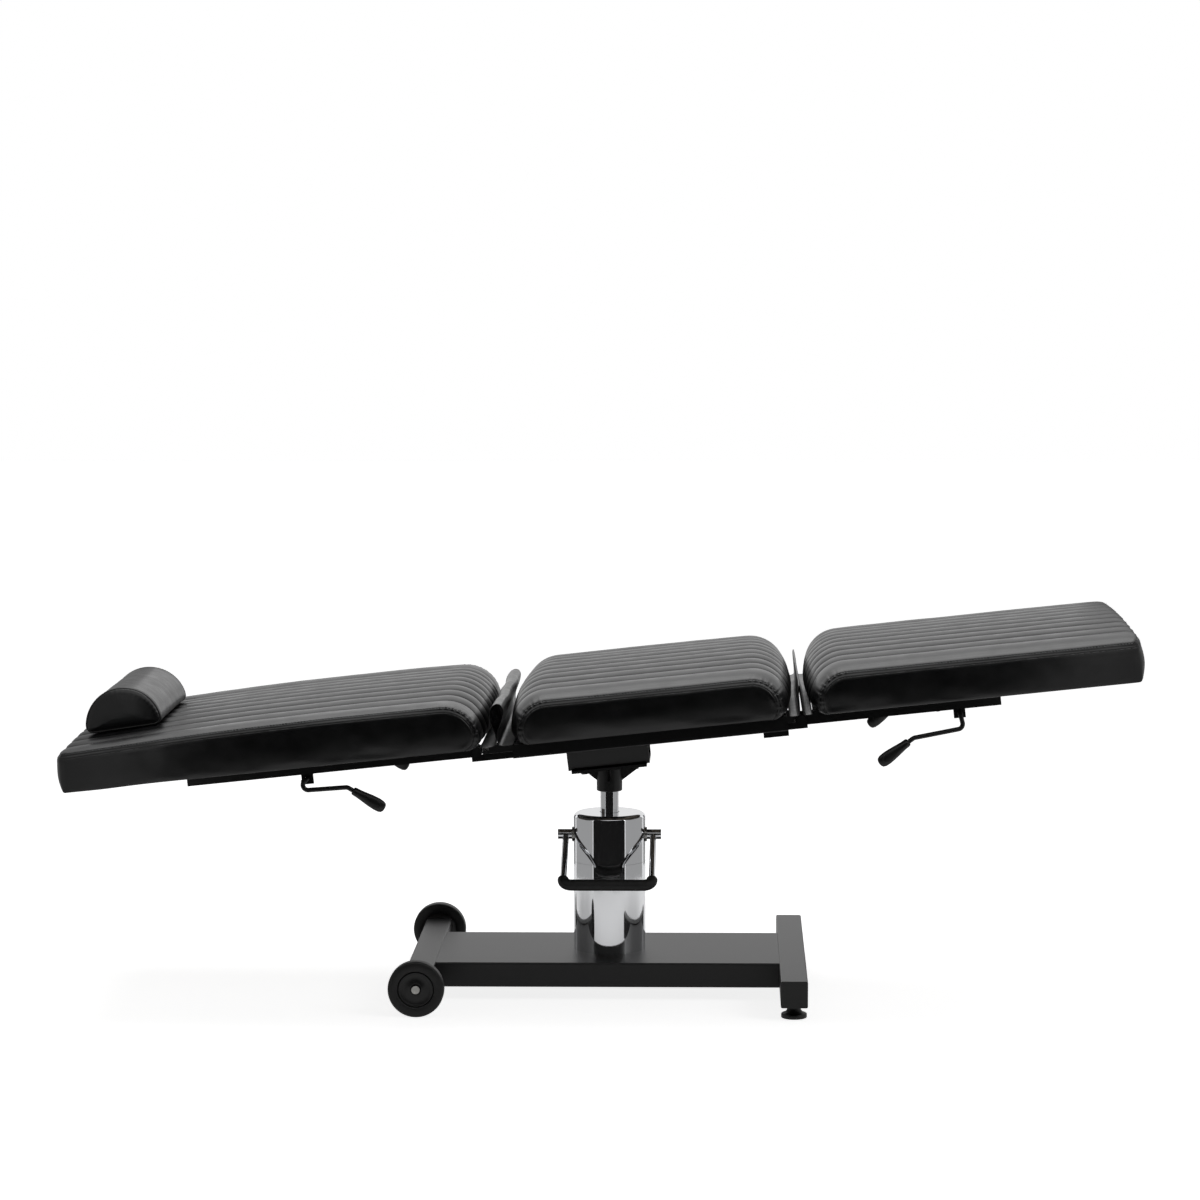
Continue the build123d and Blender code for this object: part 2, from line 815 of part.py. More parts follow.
def bolt(x, y, low, high, radius, head_height):
    """Bolt standing along Z with a head above and a nut below."""
    shank = rod((x, y, low), (x, y, high), radius)
    head_radius = radius * bolt_head_share
    top = Pos(x, y, high) * extrude(RegularPolygon(head_radius, 6), head_height)
    nut = Pos(x, y, low) * extrude(RegularPolygon(head_radius, 6), -head_height)
    return shank + top + nut


saddle_bolts = [bolt(x, y, -head_plate_drop, saddle_floor + saddle_wall,
                     saddle_bolt_radius, saddle_bolt_head) for x, y in saddle_bolts_at]
save("saddle_bolts", Compound(children=saddle_bolts), bed)


# Column: flange, pump cylinder, gland, covers, rod and piston
beam_top = foot_height + base_tube - beam_drop
cylinder_floor = beam_top + flange_thickness
cylinder_top = column_top - cylinder_top_gap


def ring(radius, hole, low, high):
    outer = rod((0, 0, low), (0, 0, high), radius)
    return outer - rod((0, 0, low - over), (0, 0, high + over), hole)


flange_bolts_at = [(flange_bolt_circle * math.cos(math.radians(a)),
                    flange_bolt_circle * math.sin(math.radians(a)))
                   for a in (45, 135, 225, 315)]
flange = rod((0, 0, beam_top), (0, 0, cylinder_floor), flange_radius)
for x, y in flange_bolts_at:
    flange -= rod((x, y, beam_top - over), (x, y, cylinder_floor + over),
                  flange_bolt_radius)
save("column_flange", flange, column)

cylinder_bore = cylinder_radius - cylinder_wall
cylinder = ring(cylinder_radius, cylinder_bore, cylinder_floor, cylinder_top - gland_height)
save("pump_cylinder", cylinder, column)
gland = ring(cylinder_radius, rod_radius + running_fit, cylinder_top - gland_height,
             cylinder_top)
gland += ring(cylinder_bore, rod_radius + running_fit,
              cylinder_top - gland_height - gland_lip, cylinder_top - gland_height)
save("pump_gland", gland, column)

shaft_hole = rod((-column_radius * 2, 0, pedal_height), (column_radius * 2, 0, pedal_height),
                 pedal_bush_radius)
upper_cover = rod((0, 0, column_seam), (0, 0, column_top), column_radius)
upper_cover = fillet(upper_cover.edges().sort_by(Axis.Z)[-1], column_shoulder)
hollow = rod((0, 0, column_seam - over), (0, 0, column_top - column_wall),
             column_radius - column_wall)
hollow = fillet(hollow.edges().sort_by(Axis.Z)[-1], column_shoulder - column_wall)
mouth = rod((0, 0, column_top - column_wall - over), (0, 0, column_top + over),
            rod_radius + cover_mouth_gap)
save("upper_column_cover", upper_cover - hollow - mouth - shaft_hole, column)
lower_cover = ring(column_radius, column_radius - column_wall, beam_top,
                   column_seam - seam_gap)
save("lower_column_cover", lower_cover, column)

shaft_bore = pedal_shaft_radius + running_fit


def pedal_bush(side):
    """Bush through the cover, drilled for the shaft and shaped to pass the cylinder."""
    inner = side * (column_radius - pedal_bush_length)
    outer = side * (column_radius + column_wall)
    body = rod((inner, 0, pedal_height), (outer, 0, pedal_height), pedal_bush_radius)
    hole = rod((inner - side * over, 0, pedal_height), (outer + side * over, 0, pedal_height),
               shaft_bore)
    return body - hole


save("pedal_bushes", Compound(children=[pedal_bush(-1), pedal_bush(1)]), column)

piston_floor = cylinder_floor + piston_floor_gap
piston_top = piston_floor + piston_height
rod_top = neck_bottom + neck_socket_depth - rod_seat_gap
save("piston_rod", rod((0, 0, piston_top), (0, 0, rod_top), rod_radius), column)
save("pump_piston", rod((0, 0, piston_floor), (0, 0, piston_top),
                        cylinder_bore - running_fit), column)


# Pump pedal: two shaft stubs turning in the bushes, bent loop and rubber sleeve
def shaft_stub(side):
    inner = side * (cylinder_radius + pedal_shaft_gap)
    return rod((inner, 0, pedal_height), (side * pedal_shaft_half, 0, pedal_height),
               pedal_shaft_radius)


pedal_points = [
    (-pedal_arm_spread, 0, pedal_height),
    (-pedal_arm_spread, -pedal_reach, pedal_height - pedal_drop),
    (pedal_arm_spread, -pedal_reach, pedal_height - pedal_drop),
    (pedal_arm_spread, 0, pedal_height),
]
pedal_path = FilletPolyline(*pedal_points, radius=pedal_bend)
pedal_plane = Plane(origin=pedal_path @ 0, z_dir=pedal_path % 0)
loop = sweep(pedal_plane * Circle(pedal_rod_radius), pedal_path)
stubs = shaft_stub(-1) + shaft_stub(1)
save("pedal_loop", loop - stubs, column)
save("pedal_shaft", Compound(children=[shaft_stub(-1), shaft_stub(1)]), column)
sleeve_half = pedal_arm_spread - pedal_sleeve_trim
sleeve_line = ((-sleeve_half, -pedal_reach, pedal_height - pedal_drop),
               (sleeve_half, -pedal_reach, pedal_height - pedal_drop))
sleeve = rod(*sleeve_line, pedal_sleeve_radius) - rod(*sleeve_line, pedal_rod_radius)
save("pedal_sleeve", sleeve, column)


# Base: two crossbars, the beam between them, wheels and levelling feet
base_half = base_length / 2
tube_half = base_tube / 2
tube_top = foot_height + base_tube
foot_bar = box_tube(base_half - tube_half, base_half + tube_half, -foot_bar_length / 2,
                    foot_bar_length / 2, foot_height, tube_top, base_wall, "y", base_corner)
wheel_bar = box_tube(-base_half - tube_half, -base_half + tube_half, -wheel_bar_length / 2,
                     wheel_bar_length / 2, foot_height, tube_top, base_wall, "y", base_corner)
beam = box_tube(-base_half + tube_half, base_half - tube_half, -beam_width / 2,
                beam_width / 2, beam_top - beam_height, beam_top, base_wall, "x", base_corner)
for x, y in flange_bolts_at:
    beam -= rod((x, y, beam_top - base_wall - over), (x, y, beam_top + over),
                flange_bolt_radius)
save("base_beam", beam, column)
flange_bolts = [bolt(x, y, beam_top - base_wall, cylinder_floor, flange_bolt_radius,
                     flange_bolt_head) for x, y in flange_bolts_at]
save("flange_bolts", Compound(children=flange_bolts), column)


def end_cap(x, y, side):
    """Plug in an open tube end, flush lip outside."""
    inner = tube_half - base_wall
    y0, y1 = sorted((y - side * cap_lip, y))
    plug = bar(x - inner, x + inner, y0, y1, foot_height + base_wall, tube_top - base_wall)
    y2, y3 = sorted((y, y + side * cap_thickness))
    lip = bar(x - tube_half, x + tube_half, y2, y3, foot_height, tube_top)
    return plug + fillet(lip.edges().filter_by(Axis.Y), base_corner)


cap_face = wheel_bar_length / 2 + cap_thickness
axle_hole = cross_rod(-base_half, wheel_radius, -cap_face - over, cap_face + over, axle_radius)
caps = mirrored(end_cap(base_half, -foot_bar_length / 2, -1))
wheel_cap = end_cap(-base_half, -wheel_bar_length / 2, -1) - axle_hole
save("foot_bar_end_caps", caps, column)
save("wheel_bar_end_caps", mirrored(wheel_cap), column)
save("wheel_crossbar", wheel_bar, column)

wheel_inner = wheel_bar_length / 2 + wheel_gap
wheel_outer = wheel_inner + wheel_width


def wheel_parts(side):
    """Tyre and hub about the axle; the hub's outer face is dished."""
    y0, y1 = sorted((side * wheel_inner, side * wheel_outer))
    hub_radius = wheel_radius - tyre_thickness
    tyre = cross_rod(-base_half, wheel_radius, y0, y1, wheel_radius)
    tyre = fillet(tyre.edges(), wheel_dish)
    tyre -= cross_rod(-base_half, wheel_radius, y0 - over, y1 + over, hub_radius)
    outer = side * (wheel_outer - wheel_dish)
    h0, h1 = sorted((side * wheel_inner, outer))
    hub = cross_rod(-base_half, wheel_radius, h0, h1, hub_radius)
    hub -= cross_rod(-base_half, wheel_radius, h0 - over, h1 + over,
                     axle_radius + running_fit)
    return tyre, hub


def axle(side):
    """Stub axle from inside the crossbar to a domed head outside the hub."""
    start = side * (wheel_bar_length / 2 - axle_hold)
    seat = side * (wheel_outer - wheel_dish + axle_side_gap)
    y0, y1 = sorted((start, seat))
    shank = cross_rod(-base_half, wheel_radius, y0, y1, axle_radius)
    h0, h1 = sorted((seat, seat + side * axle_head_height))
    head = cross_rod(-base_half, wheel_radius, h0, h1, axle_head_radius)
    c0, c1 = sorted((side * cap_face, side * (wheel_inner - axle_side_gap)))
    collar = cross_rod(-base_half, wheel_radius, c0, c1, axle_head_radius)
    return shank + head + collar


for name, side in (("near", -1), ("far", 1)):
    tyre, hub = wheel_parts(side)
    save(f"{name}_wheel_tyre", tyre, column)
    save(f"{name}_wheel_hub", hub, column)
save("wheel_axles", Compound(children=[axle(-1), axle(1)]), column)


def levelling_foot(y):
    """Moulded pad with a waisted neck on a steel stem."""
    top = foot_height - foot_seat_gap
    profile = [
        (0, 0),
        (foot_pad_radius - foot_edge, 0),
        (foot_pad_radius, foot_edge),
        (foot_pad_radius, foot_pad_height - foot_shoulder),
        (foot_pad_radius - foot_edge, foot_pad_height),
        (foot_neck_radius + foot_edge, foot_pad_height + foot_shoulder),
        (foot_neck_radius, foot_height - foot_shoulder),
        (foot_neck_radius, top),
        (0, top),
    ]
    face = Plane.XZ * make_face(Polyline(*profile, close=True))
    pad = revolve(face, Axis.Z)
    stem = rod((0, 0, foot_height - over), (0, 0, foot_height + foot_stem_hold),
               foot_stem_radius)
    return Pos(base_half, y, 0) * (pad + stem)


foot_y = foot_bar_length / 2 - foot_inset
for side in (-1, 1):
    foot_bar -= rod((base_half, side * foot_y, foot_height - over),
                    (base_half, side * foot_y, foot_height + base_wall + over),
                    foot_stem_radius + running_fit)
save("foot_crossbar", foot_bar, column)
save("near_levelling_foot", levelling_foot(-foot_y), column)
save("far_levelling_foot", levelling_foot(foot_y), column)
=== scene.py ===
import json
import math

import bmesh
import bpy
import numpy as np
from mathutils import Matrix, Vector, kdtree, noise


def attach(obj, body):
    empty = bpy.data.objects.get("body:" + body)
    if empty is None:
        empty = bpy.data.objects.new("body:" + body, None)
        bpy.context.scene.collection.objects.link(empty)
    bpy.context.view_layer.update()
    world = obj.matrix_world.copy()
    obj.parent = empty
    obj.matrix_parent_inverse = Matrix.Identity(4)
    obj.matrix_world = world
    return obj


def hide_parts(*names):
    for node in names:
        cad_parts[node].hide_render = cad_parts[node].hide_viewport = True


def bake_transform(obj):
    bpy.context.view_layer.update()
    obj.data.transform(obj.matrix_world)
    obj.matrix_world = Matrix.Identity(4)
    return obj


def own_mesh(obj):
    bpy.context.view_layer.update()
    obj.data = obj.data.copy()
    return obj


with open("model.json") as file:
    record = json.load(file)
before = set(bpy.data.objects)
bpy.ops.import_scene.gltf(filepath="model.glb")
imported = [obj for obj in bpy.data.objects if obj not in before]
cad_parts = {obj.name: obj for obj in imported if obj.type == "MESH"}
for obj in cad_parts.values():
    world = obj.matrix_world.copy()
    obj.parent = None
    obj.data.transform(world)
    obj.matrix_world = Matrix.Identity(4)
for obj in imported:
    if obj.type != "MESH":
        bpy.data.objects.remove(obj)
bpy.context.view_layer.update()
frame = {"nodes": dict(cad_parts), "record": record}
nodes = frame["nodes"]
mm = 0.001

bedTilt = math.radians(6.0)
columnX = 9.3  # mm, column axis in the shared frame
bedHeight = 483.7
bedPlace = (Matrix.Translation((columnX * mm, 0, bedHeight * mm))
            @ Matrix.Rotation(-bedTilt, 4, "Y") @ Matrix.Scale(mm, 4))
columnPlace = Matrix.Translation((columnX * mm, 0, 0)) @ Matrix.Scale(mm, 4)
weldGap = 1e-4  # in the units of the mesh that is welded
cutGap = 1e-5


# Small helpers
def smooth(t):
    t = max(0.0, min(1.0, t))
    return t * t * (3 - 2 * t)


def mix(a, b, t):
    return a + (b - a) * t


def belly(share):  # 0 at both ends, 1 in the middle
    return 4 * share * (1 - share)


def finishMesh(bm, name, place, shade=True):
    bmesh.ops.remove_doubles(bm, verts=bm.verts[:], dist=weldGap)
    bmesh.ops.recalc_face_normals(bm, faces=bm.faces[:])
    mesh = bpy.data.meshes.new(name)
    bm.to_mesh(mesh)
    bm.free()
    mesh.transform(place)
    if shade:
        mesh.shade_smooth()
    piece = bpy.data.objects.new(name, mesh)
    bpy.context.scene.collection.objects.link(piece)
    return piece


def everyElement(bm):
    return bm.verts[:] + bm.edges[:] + bm.faces[:]


def cutAcross(bm, place, normal):
    bmesh.ops.bisect_plane(bm, geom=everyElement(bm), dist=cutGap, plane_co=place,
                           plane_no=normal)


# A cube cut into cells, with whole-number corners from 0 to cells on each axis
def blockMesh(cells):
    bm = bmesh.new()
    bmesh.ops.create_cube(bm, size=1.0)
    for v in bm.verts:
        v.co = Vector([(c + 0.5) * n for c, n in zip(v.co, cells)])
    for axis, count in enumerate(cells):
        normal = Vector([1.0 if i == axis else 0.0 for i in range(3)])
        for i in range(1, count):
            cutAcross(bm, normal * i, normal)
    return bm


def vertexLayers(bm, *names):  # number layers that become attributes of the same names
    return [bm.verts.layers.float.new(name) for name in names]


def subdivideMesh(piece, levels):
    modifier = piece.modifiers.new("smoothing", "SUBSURF")
    modifier.levels = modifier.render_levels = levels
    graph = bpy.context.evaluated_depsgraph_get()
    fine = bpy.data.meshes.new_from_object(piece.evaluated_get(graph))
    piece.modifiers.clear()
    old = piece.data
    piece.data = fine
    bpy.data.meshes.remove(old)
    fine.shade_smooth()


# Gives a finished piece its material and moving body, and hides the solid that it replaces
def dress(piece, material, body, node=None):
    piece.data.materials.clear()
    piece.data.materials.append(material)
    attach(piece, body)
    if node:
        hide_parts(node)


def coordinates(mesh):
    co = np.zeros(len(mesh.vertices) * 3)
    mesh.vertices.foreach_get("co", co)
    return co.reshape(-1, 3)


def setCoordinates(mesh, co):
    mesh.vertices.foreach_set("co", co.astype(np.float32).ravel())
    mesh.update()


def normals(mesh):
    n = np.zeros(len(mesh.vertices) * 3)
    mesh.vertex_normals.foreach_get("vector", n)
    return n.reshape(-1, 3)


def readAttribute(mesh, name):
    out = np.zeros(len(mesh.vertices))
    mesh.attributes[name].data.foreach_get("value", out)
    return out


def writeAttribute(mesh, name, values):
    old = mesh.attributes.get(name)
    if old:
        mesh.attributes.remove(old)
    layer = mesh.attributes.new(name, "FLOAT", "POINT")
    layer.data.foreach_set("value", values.astype(np.float32))


def pointTree(co, numbers):  # finds which of the numbered points lies nearest to a place
    tree = kdtree.KDTree(len(numbers))
    for i in numbers:
        tree.insert(co[i], i)
    tree.balance()
    return tree


# Rings along a path, bridged one to the next; radii lists each ring's two half widths
def sweepTube(bm, points, radii, sides=14, closed=False, up=(0, 0, 1)):
    points = [Vector(p) for p in points]
    rings = []
    up = Vector(up)
    last = len(points) - 1
    for i, (point, (wide, high)) in enumerate(zip(points, radii)):
        before = points[i - 1] if i or closed else point
        after = points[0] if i == last and closed else points[min(i + 1, last)]
        along = (after - before).normalized()
        side = along.cross(up).normalized()
        up = side.cross(along).normalized()
        turn = Matrix((side, up, -along)).transposed().to_4x4()
        made = bmesh.ops.create_circle(bm, segments=sides, radius=1.0, matrix=(
            Matrix.Translation(point) @ turn @ Matrix.Diagonal((wide, high, 1, 1))))
        rings.append(list({e for v in made["verts"] for e in v.link_edges}))
    for lower, upper in zip(rings, rings[1:] + (rings[:1] if closed else [])):
        bmesh.ops.bridge_loops(bm, edges=lower + upper)
    if not closed:
        bmesh.ops.holes_fill(bm, edges=rings[0] + rings[-1], sides=0)


def spinProfile(bm, profile, steps, axis, centre=Vector((0, 0, 0))):
    verts = [bm.verts.new(p) for p in profile]
    edges = [bm.edges.new(pair) for pair in zip(verts, verts[1:])]
    bmesh.ops.spin(bm, geom=verts + edges, cent=centre, axis=axis, angle=2 * math.pi,
                   steps=steps, use_merge=True)
    bmesh.ops.remove_doubles(bm, verts=bm.verts[:], dist=weldGap)


# Materials
def linear(hexColour):
    channels = [int(hexColour[i:i + 2], 16) / 255 for i in (1, 3, 5)]
    return [c / 12.92 if c <= 0.04045 else ((c + 0.055) / 1.055) ** 2.4 for c in channels] + [1]


# Adds a node; values set its properties or sockets, links join sockets to other nodes
def addNode(tree, kind, links=None, **values):
    made = tree.nodes.new("ShaderNode" + kind)
    for key, value in values.items():
        if hasattr(made, key):
            setattr(made, key, value)
        else:
            made.inputs[key.replace("_", " ")].default_value = value
    for key, source in (links or {}).items():
        socket = made.inputs[key] if isinstance(key, int) else made.inputs[key.replace("_", " ")]
        tree.links.new(source, socket)
    return made


def mathNode(tree, operation, first, second=None):  # the second is a socket or a number
    made = addNode(tree, "Math", {0: first}, operation=operation)
    if isinstance(second, float):
        made.inputs[1].default_value = second
    elif second:
        tree.links.new(second, made.inputs[1])
    return made.outputs[0]


# Relief for the light alone; the distance is in metres, and before is another relief
def bumpNode(tree, height, strength, distance, before=None):
    links = {"Height": height}
    if before:
        links["Normal"] = before
    return addNode(tree, "Bump", links, Strength=strength, Distance=distance).outputs["Normal"]


def newMaterial(name, **values):
    material = bpy.data.materials.new(name)
    material.use_nodes = True
    tree = material.node_tree
    shader = tree.nodes["Principled BSDF"]
    for key, value in values.items():
        shader.inputs[key.replace("_", " ")].default_value = value
    return material, tree, shader


def objectPoints(tree, scale):
    spots = addNode(tree, "TexCoord")
    return addNode(tree, "Mapping", {"Vector": spots.outputs["Object"]},
                   Scale=(scale, scale, scale)).outputs["Vector"]


# Coated fabric: pebbled grain pressed into a soft black skin, with painted shade in its sewn
# creases, where gloss and coat are cut
def leatherMaterial(name, settings, stitched=False):
    material, tree, shader = newMaterial(
        name, Base_Color=linear(settings["colour"]), IOR=settings["ior"],
        Coat_Weight=settings["coat"], Coat_Roughness=settings["coatRoughness"])
    points = objectPoints(tree, 1000.0)
    pebbles = addNode(tree, "TexVoronoi", {"Vector": points}, feature="SMOOTH_F1",
                      Scale=1 / settings["grain"], Smoothness=settings["softness"])
    wander = addNode(tree, "TexNoise", {"Vector": points}, Scale=1 / settings["patch"], Detail=3.0)
    patch = addNode(tree, "MapRange", {"Value": wander.outputs["Fac"]},
                    From_Min=0.3, From_Max=0.7,
                    To_Min=settings["roughness"] - settings["patchiness"],
                    To_Max=settings["roughness"] + settings["patchiness"])
    tree.links.new(patch.outputs["Result"], shader.inputs["Roughness"])
    relief = bumpNode(tree, pebbles.outputs["Distance"], settings["grainStrength"],
                      settings["grainDepth"])
    slack = addNode(tree, "TexNoise", {"Vector": points}, Scale=1 / settings["slack"],
                    Detail=2.0)
    relief = bumpNode(tree, slack.outputs["Fac"], settings["slackStrength"],
                      settings["slackDepth"], relief)
    if stitched:
        seam = addNode(tree, "Attribute", attribute_name="seamOffset")
        apart = mathNode(tree, "ABSOLUTE", seam.outputs["Fac"])
        away = mathNode(tree, "SUBTRACT", apart, settings["stitchRow"])
        dent = addNode(tree, "MapRange", {"Value": mathNode(tree, "ABSOLUTE", away)},
                       interpolation_type="SMOOTHSTEP",
                       From_Min=0.0, From_Max=settings["dentWidth"], To_Min=0.0, To_Max=1.0)
        relief = bumpNode(tree, dent.outputs["Result"], 1.0, settings["dentDepth"], relief)
        crease = addNode(tree, "Attribute", attribute_name="ditch")  # painted shade: gloss is cut in the sewn folds, standing in for the shade there
        for socket, level in (("Specular IOR Level", settings["specular"]),
                              ("Coat Weight", settings["coat"])):
            creaseShade = addNode(tree, "MapRange", {"Value": crease.outputs["Fac"]},
                          From_Min=settings["creaseStart"], From_Max=settings["creaseEnd"],
                          To_Min=level, To_Max=level * settings["creaseShadeGloss"])
            tree.links.new(creaseShade.outputs["Result"], shader.inputs[socket])
    tree.links.new(relief, shader.inputs["Normal"])
    return material


peelDepth = 0.0002  # metres


# Baked paint over steel: a fine orange peel that spreads highlights
def coatedMetal(name, settings):
    material, tree, shader = newMaterial(
        name, Base_Color=linear(settings["colour"]), Roughness=settings["roughness"])
    shader.inputs["IOR"].default_value = settings.get("ior", 1.5)
    peel = addNode(tree, "TexNoise", {"Vector": objectPoints(tree, 1000.0)},
                   Scale=1 / settings["peel"], Detail=2.0)
    relief = bumpNode(tree, peel.outputs["Fac"], settings["peelStrength"], peelDepth)
    tree.links.new(relief, shader.inputs["Normal"])
    return material


wipedShare, markedShare = 0.7, 1.4  # of the metal's roughness


def metalFinish(name, settings):  # bare or plated metal: faint wiping marks change its gloss
    material, tree, shader = newMaterial(
        name, Base_Color=linear(settings["colour"]), Metallic=1.0)
    marks = addNode(tree, "TexNoise", {"Vector": objectPoints(tree, 1000.0)},
                    Scale=1 / settings["marks"], Detail=4.0)
    gloss = addNode(tree, "MapRange", {"Value": marks.outputs["Fac"]},
                    From_Min=0.35, From_Max=0.65,
                    To_Min=settings["roughness"] * wipedShare,
                    To_Max=settings["roughness"] * markedShare)
    tree.links.new(gloss.outputs["Result"], shader.inputs["Roughness"])
    return material


# Rotary cut veneer: long soft figure with short darker pores
def plywoodMaterial(name, settings):
    material, tree, shader = newMaterial(name, Roughness=settings["roughness"])
    spots = addNode(tree, "TexCoord")
    stretched = addNode(tree, "Mapping", {"Vector": spots.outputs["Object"]},
                        Scale=settings["stretch"])
    figure = addNode(tree, "TexNoise", {"Vector": stretched.outputs["Vector"]},
                     Scale=1.0, Detail=5.0, Distortion=settings["distortion"])
    ramp = addNode(tree, "ValToRGB", {"Fac": figure.outputs["Fac"]})
    ramp.color_ramp.elements[0].position = 0.35
    ramp.color_ramp.elements[0].color = linear(settings["dark"])
    ramp.color_ramp.elements[1].position = 0.65
    ramp.color_ramp.elements[1].color = linear(settings["light"])
    tree.links.new(ramp.outputs["Color"], shader.inputs["Base Color"])
    return material


# Calendered leatherette: deep black, its fine grain breaks the light into a soft sheen
leatherSettings = {"colour": "#0d0d0e", "ior": 1.46, "grain": 1.1, "grainStrength": 0.3,
                   "grainDepth": 0.0002, "softness": 0.35, "roughness": 0.36, "patch": 28,
                   "patchiness": 0.05, "slack": 17, "slackStrength": 0.35,
                   "slackDepth": 0.0006, "coat": 0.25, "coatRoughness": 0.24,
                   "stitchRow": 4.6, "dentWidth": 1.7, "dentDepth": 0.0007,
                   # the crease values set the painted shade in the sewn creases: gloss and coat
                   # drop to a small share there
                   "creaseShadeGloss": 0.06, "creaseStart": 0.15, "creaseEnd": 0.9,
                   "specular": 0.5}
leather = leatherMaterial("black embossed leatherette", leatherSettings, stitched=True)
# The same sheet without stitches: the sheen alone, for flaps, pillow and piping
plainLeather = leatherMaterial("black leatherette, unstitched faces", leatherSettings)
# Twisted thread: a dull, slightly paler dash against the sheet
thread = coatedMetal("bonded polyester thread", {
    "colour": "#1b1b1c", "roughness": 0.6, "peel": 0.3, "peelStrength": 0.5})
# Sprayed and baked powder: satin black with faint peel that widens each highlight
powder = coatedMetal("black powder coat on steel", {
    "colour": "#0d0d0e", "roughness": 0.4, "peel": 0.9, "peelStrength": 0.25})
# Blackened fasteners: smoother and a touch paler than the paint round them
satinBlack = coatedMetal("blackened steel fasteners", {
    "colour": "#141414", "roughness": 0.42, "peel": 0.5, "peelStrength": 0.15})
# Polished plate: mirror bands of light and dark with faint wiping marks
chrome = metalFinish("polished chrome plate", {
    "colour": "#e9eaec", "roughness": 0.05, "marks": 30.0})
# Turned steel: a warm grey with a broad soft highlight
steel = metalFinish("turned bare steel", {
    "colour": "#b9b8b4", "roughness": 0.28, "marks": 9.0})
# Moulded rubber: dull near black without a clear highlight
rubber = coatedMetal("moulded black rubber", {
    "colour": "#161616", "roughness": 0.62, "peel": 0.5, "peelStrength": 0.3})
# Wheel rubber: harder, so that its shoulder catches a thin highlight
tyreRubber = coatedMetal("moulded wheel rubber", {
    "colour": "#131313", "roughness": 0.5, "peel": 0.6, "peelStrength": 0.25})
# Moulded nylon: a satin shine, sharper than rubber
moulding = coatedMetal("injection moulded nylon", {
    "colour": "#151515", "roughness": 0.4, "peel": 0.4, "peelStrength": 0.2})
# Rotary cut veneer: muted brown with long soft figure, seen from below
plywood = plywoodMaterial("birch plywood", {
    "roughness": 0.6, "dark": "#5f564c", "light": "#7d7266", "distortion": 0.8,
    "stretch": (4.0, 60.0, 60.0)})
slotMaterials = {
    "black_powder_coat": powder, "chrome_plate": chrome, "bare_steel": steel,
    "blackened_fasteners": satinBlack, "black_leatherette": plainLeather,
    "plywood": plywood, "black_rubber": rubber, "wheel_tyre": tyreRubber,
    "black_moulding": moulding}
nodeSlots = {row["node"]: row["material_slot"] for row in frame["record"]["subparts"]}
for name, piece in nodes.items():
    finish = slotMaterials[nodeSlots[name]]
    for place in piece.material_slots:
        place.material = finish
print("materials set on", len(nodes), "nodes,", len(nodeSlots), "by slot", flush=True)


# Pads
padShared = {
    "seamY": 298.0, "seamDrop": 25.0, "lastChannel": 224.0, "pitch": 56.0,
    "crown": 6.0, "channelDepth": 6.4, "rise": 5.6, "waterfall": 72.0,
    "border": [(224, 12.4), (230, 9.0), (240, 7.8), (253, 8.0), (266, 9.6), (277, 12.4),
               (286, 16.0), (292, 19.4), (295.6, 22.0), (298, 25.0)],
    "rowShares": [0, 0.14, 0.3, 0.46, 0.62, 0.76, 0.87, 0.94, 1.0],
    "footY": 292.0, "bulge": 3.0, "highBulge": 2.0, "boardInset": 30.0, "lap": 7.0,
    "lapMargin": 8.0, "lapLevel": -0.5, "hiddenLevel": 6.0, "footRoll": 11.0, "arcCells": 6,
    "cell": 15.0, "fluteCells": 4, "boxRoll": 20.0, "boxInset": 6.0, "rollTurn": 72.0,
    "rollCells": 3,
    "footInset": 8.0, "endTuckShare": 0.75, "endEase": (250.0, 48.0), "planCorner": 30.0,
    "cornerShare": 0.9, "cornerLimit": 1.2, "ditchCrease": 0.85, "seamCrease": 0.75}


def crossLines(s):  # places across the pad, from the near seam to the far one, with their drops
    lines = []
    last = s["lastChannel"]
    flutes = round(2 * last / s["pitch"])
    for i in range(flutes):
        for j in range(s["fluteCells"]):
            share = j / s["fluteCells"]
            y = -last + (i + share) * s["pitch"]
            ridge = 1 - abs(2 * share - 1) ** 3
            drop = s["crown"] * (y / last) ** 2 + s["channelDepth"] - s["rise"] * ridge
            lines.append((y, drop, j == 0))
    lines.append((last, s["crown"] + s["channelDepth"], True))
    border = [(y, drop, False) for y, drop in s["border"][1:]]
    return [(-y, d, c) for y, d, c in reversed(border)] + lines + border


def sideY(s, share):  # half width of the pad against the share of the seam's height
    out = belly(share)
    return mix(s["footY"], s["seamY"], share) + s["bulge"] * out + s["highBulge"] * out * share


# Outline and seam points along part of the round at an end that falls over
def arcPoints(end, side, thick, turns, s):
    hub, root = thick - s["waterfall"], end - side * s["waterfall"]
    rounds = (s["waterfall"], s["waterfall"] - s["seamDrop"])
    return [[(root + side * size * math.sin(turn), hub + size * math.cos(turn))
             for turn in turns] for size in rounds]


# Outline and seam points from the bottom up to the middle of the arc
def waterfallColumn(end, side, thick, rows, s):
    hub = thick - s["waterfall"]
    seamEnd = end - side * s["seamDrop"]
    turns = [math.pi / 2 - math.pi / 4 * c / s["arcCells"] for c in range(s["arcCells"] + 1)]
    outer, inner = arcPoints(end, side, thick, turns, s)
    lowRows = rows - s["arcCells"]
    for c in reversed(range(lowRows)):
        turn = math.pi / 2 * c / lowRows
        outer.insert(0, (end - side * hub * (1 - math.sin(turn)), hub * (1 - math.cos(turn))))
        inner.insert(0, (mix(end - side * (hub + s["footRoll"]), seamEnd, math.sin(turn)),
                         hub * c / lowRows))
    return outer, inner


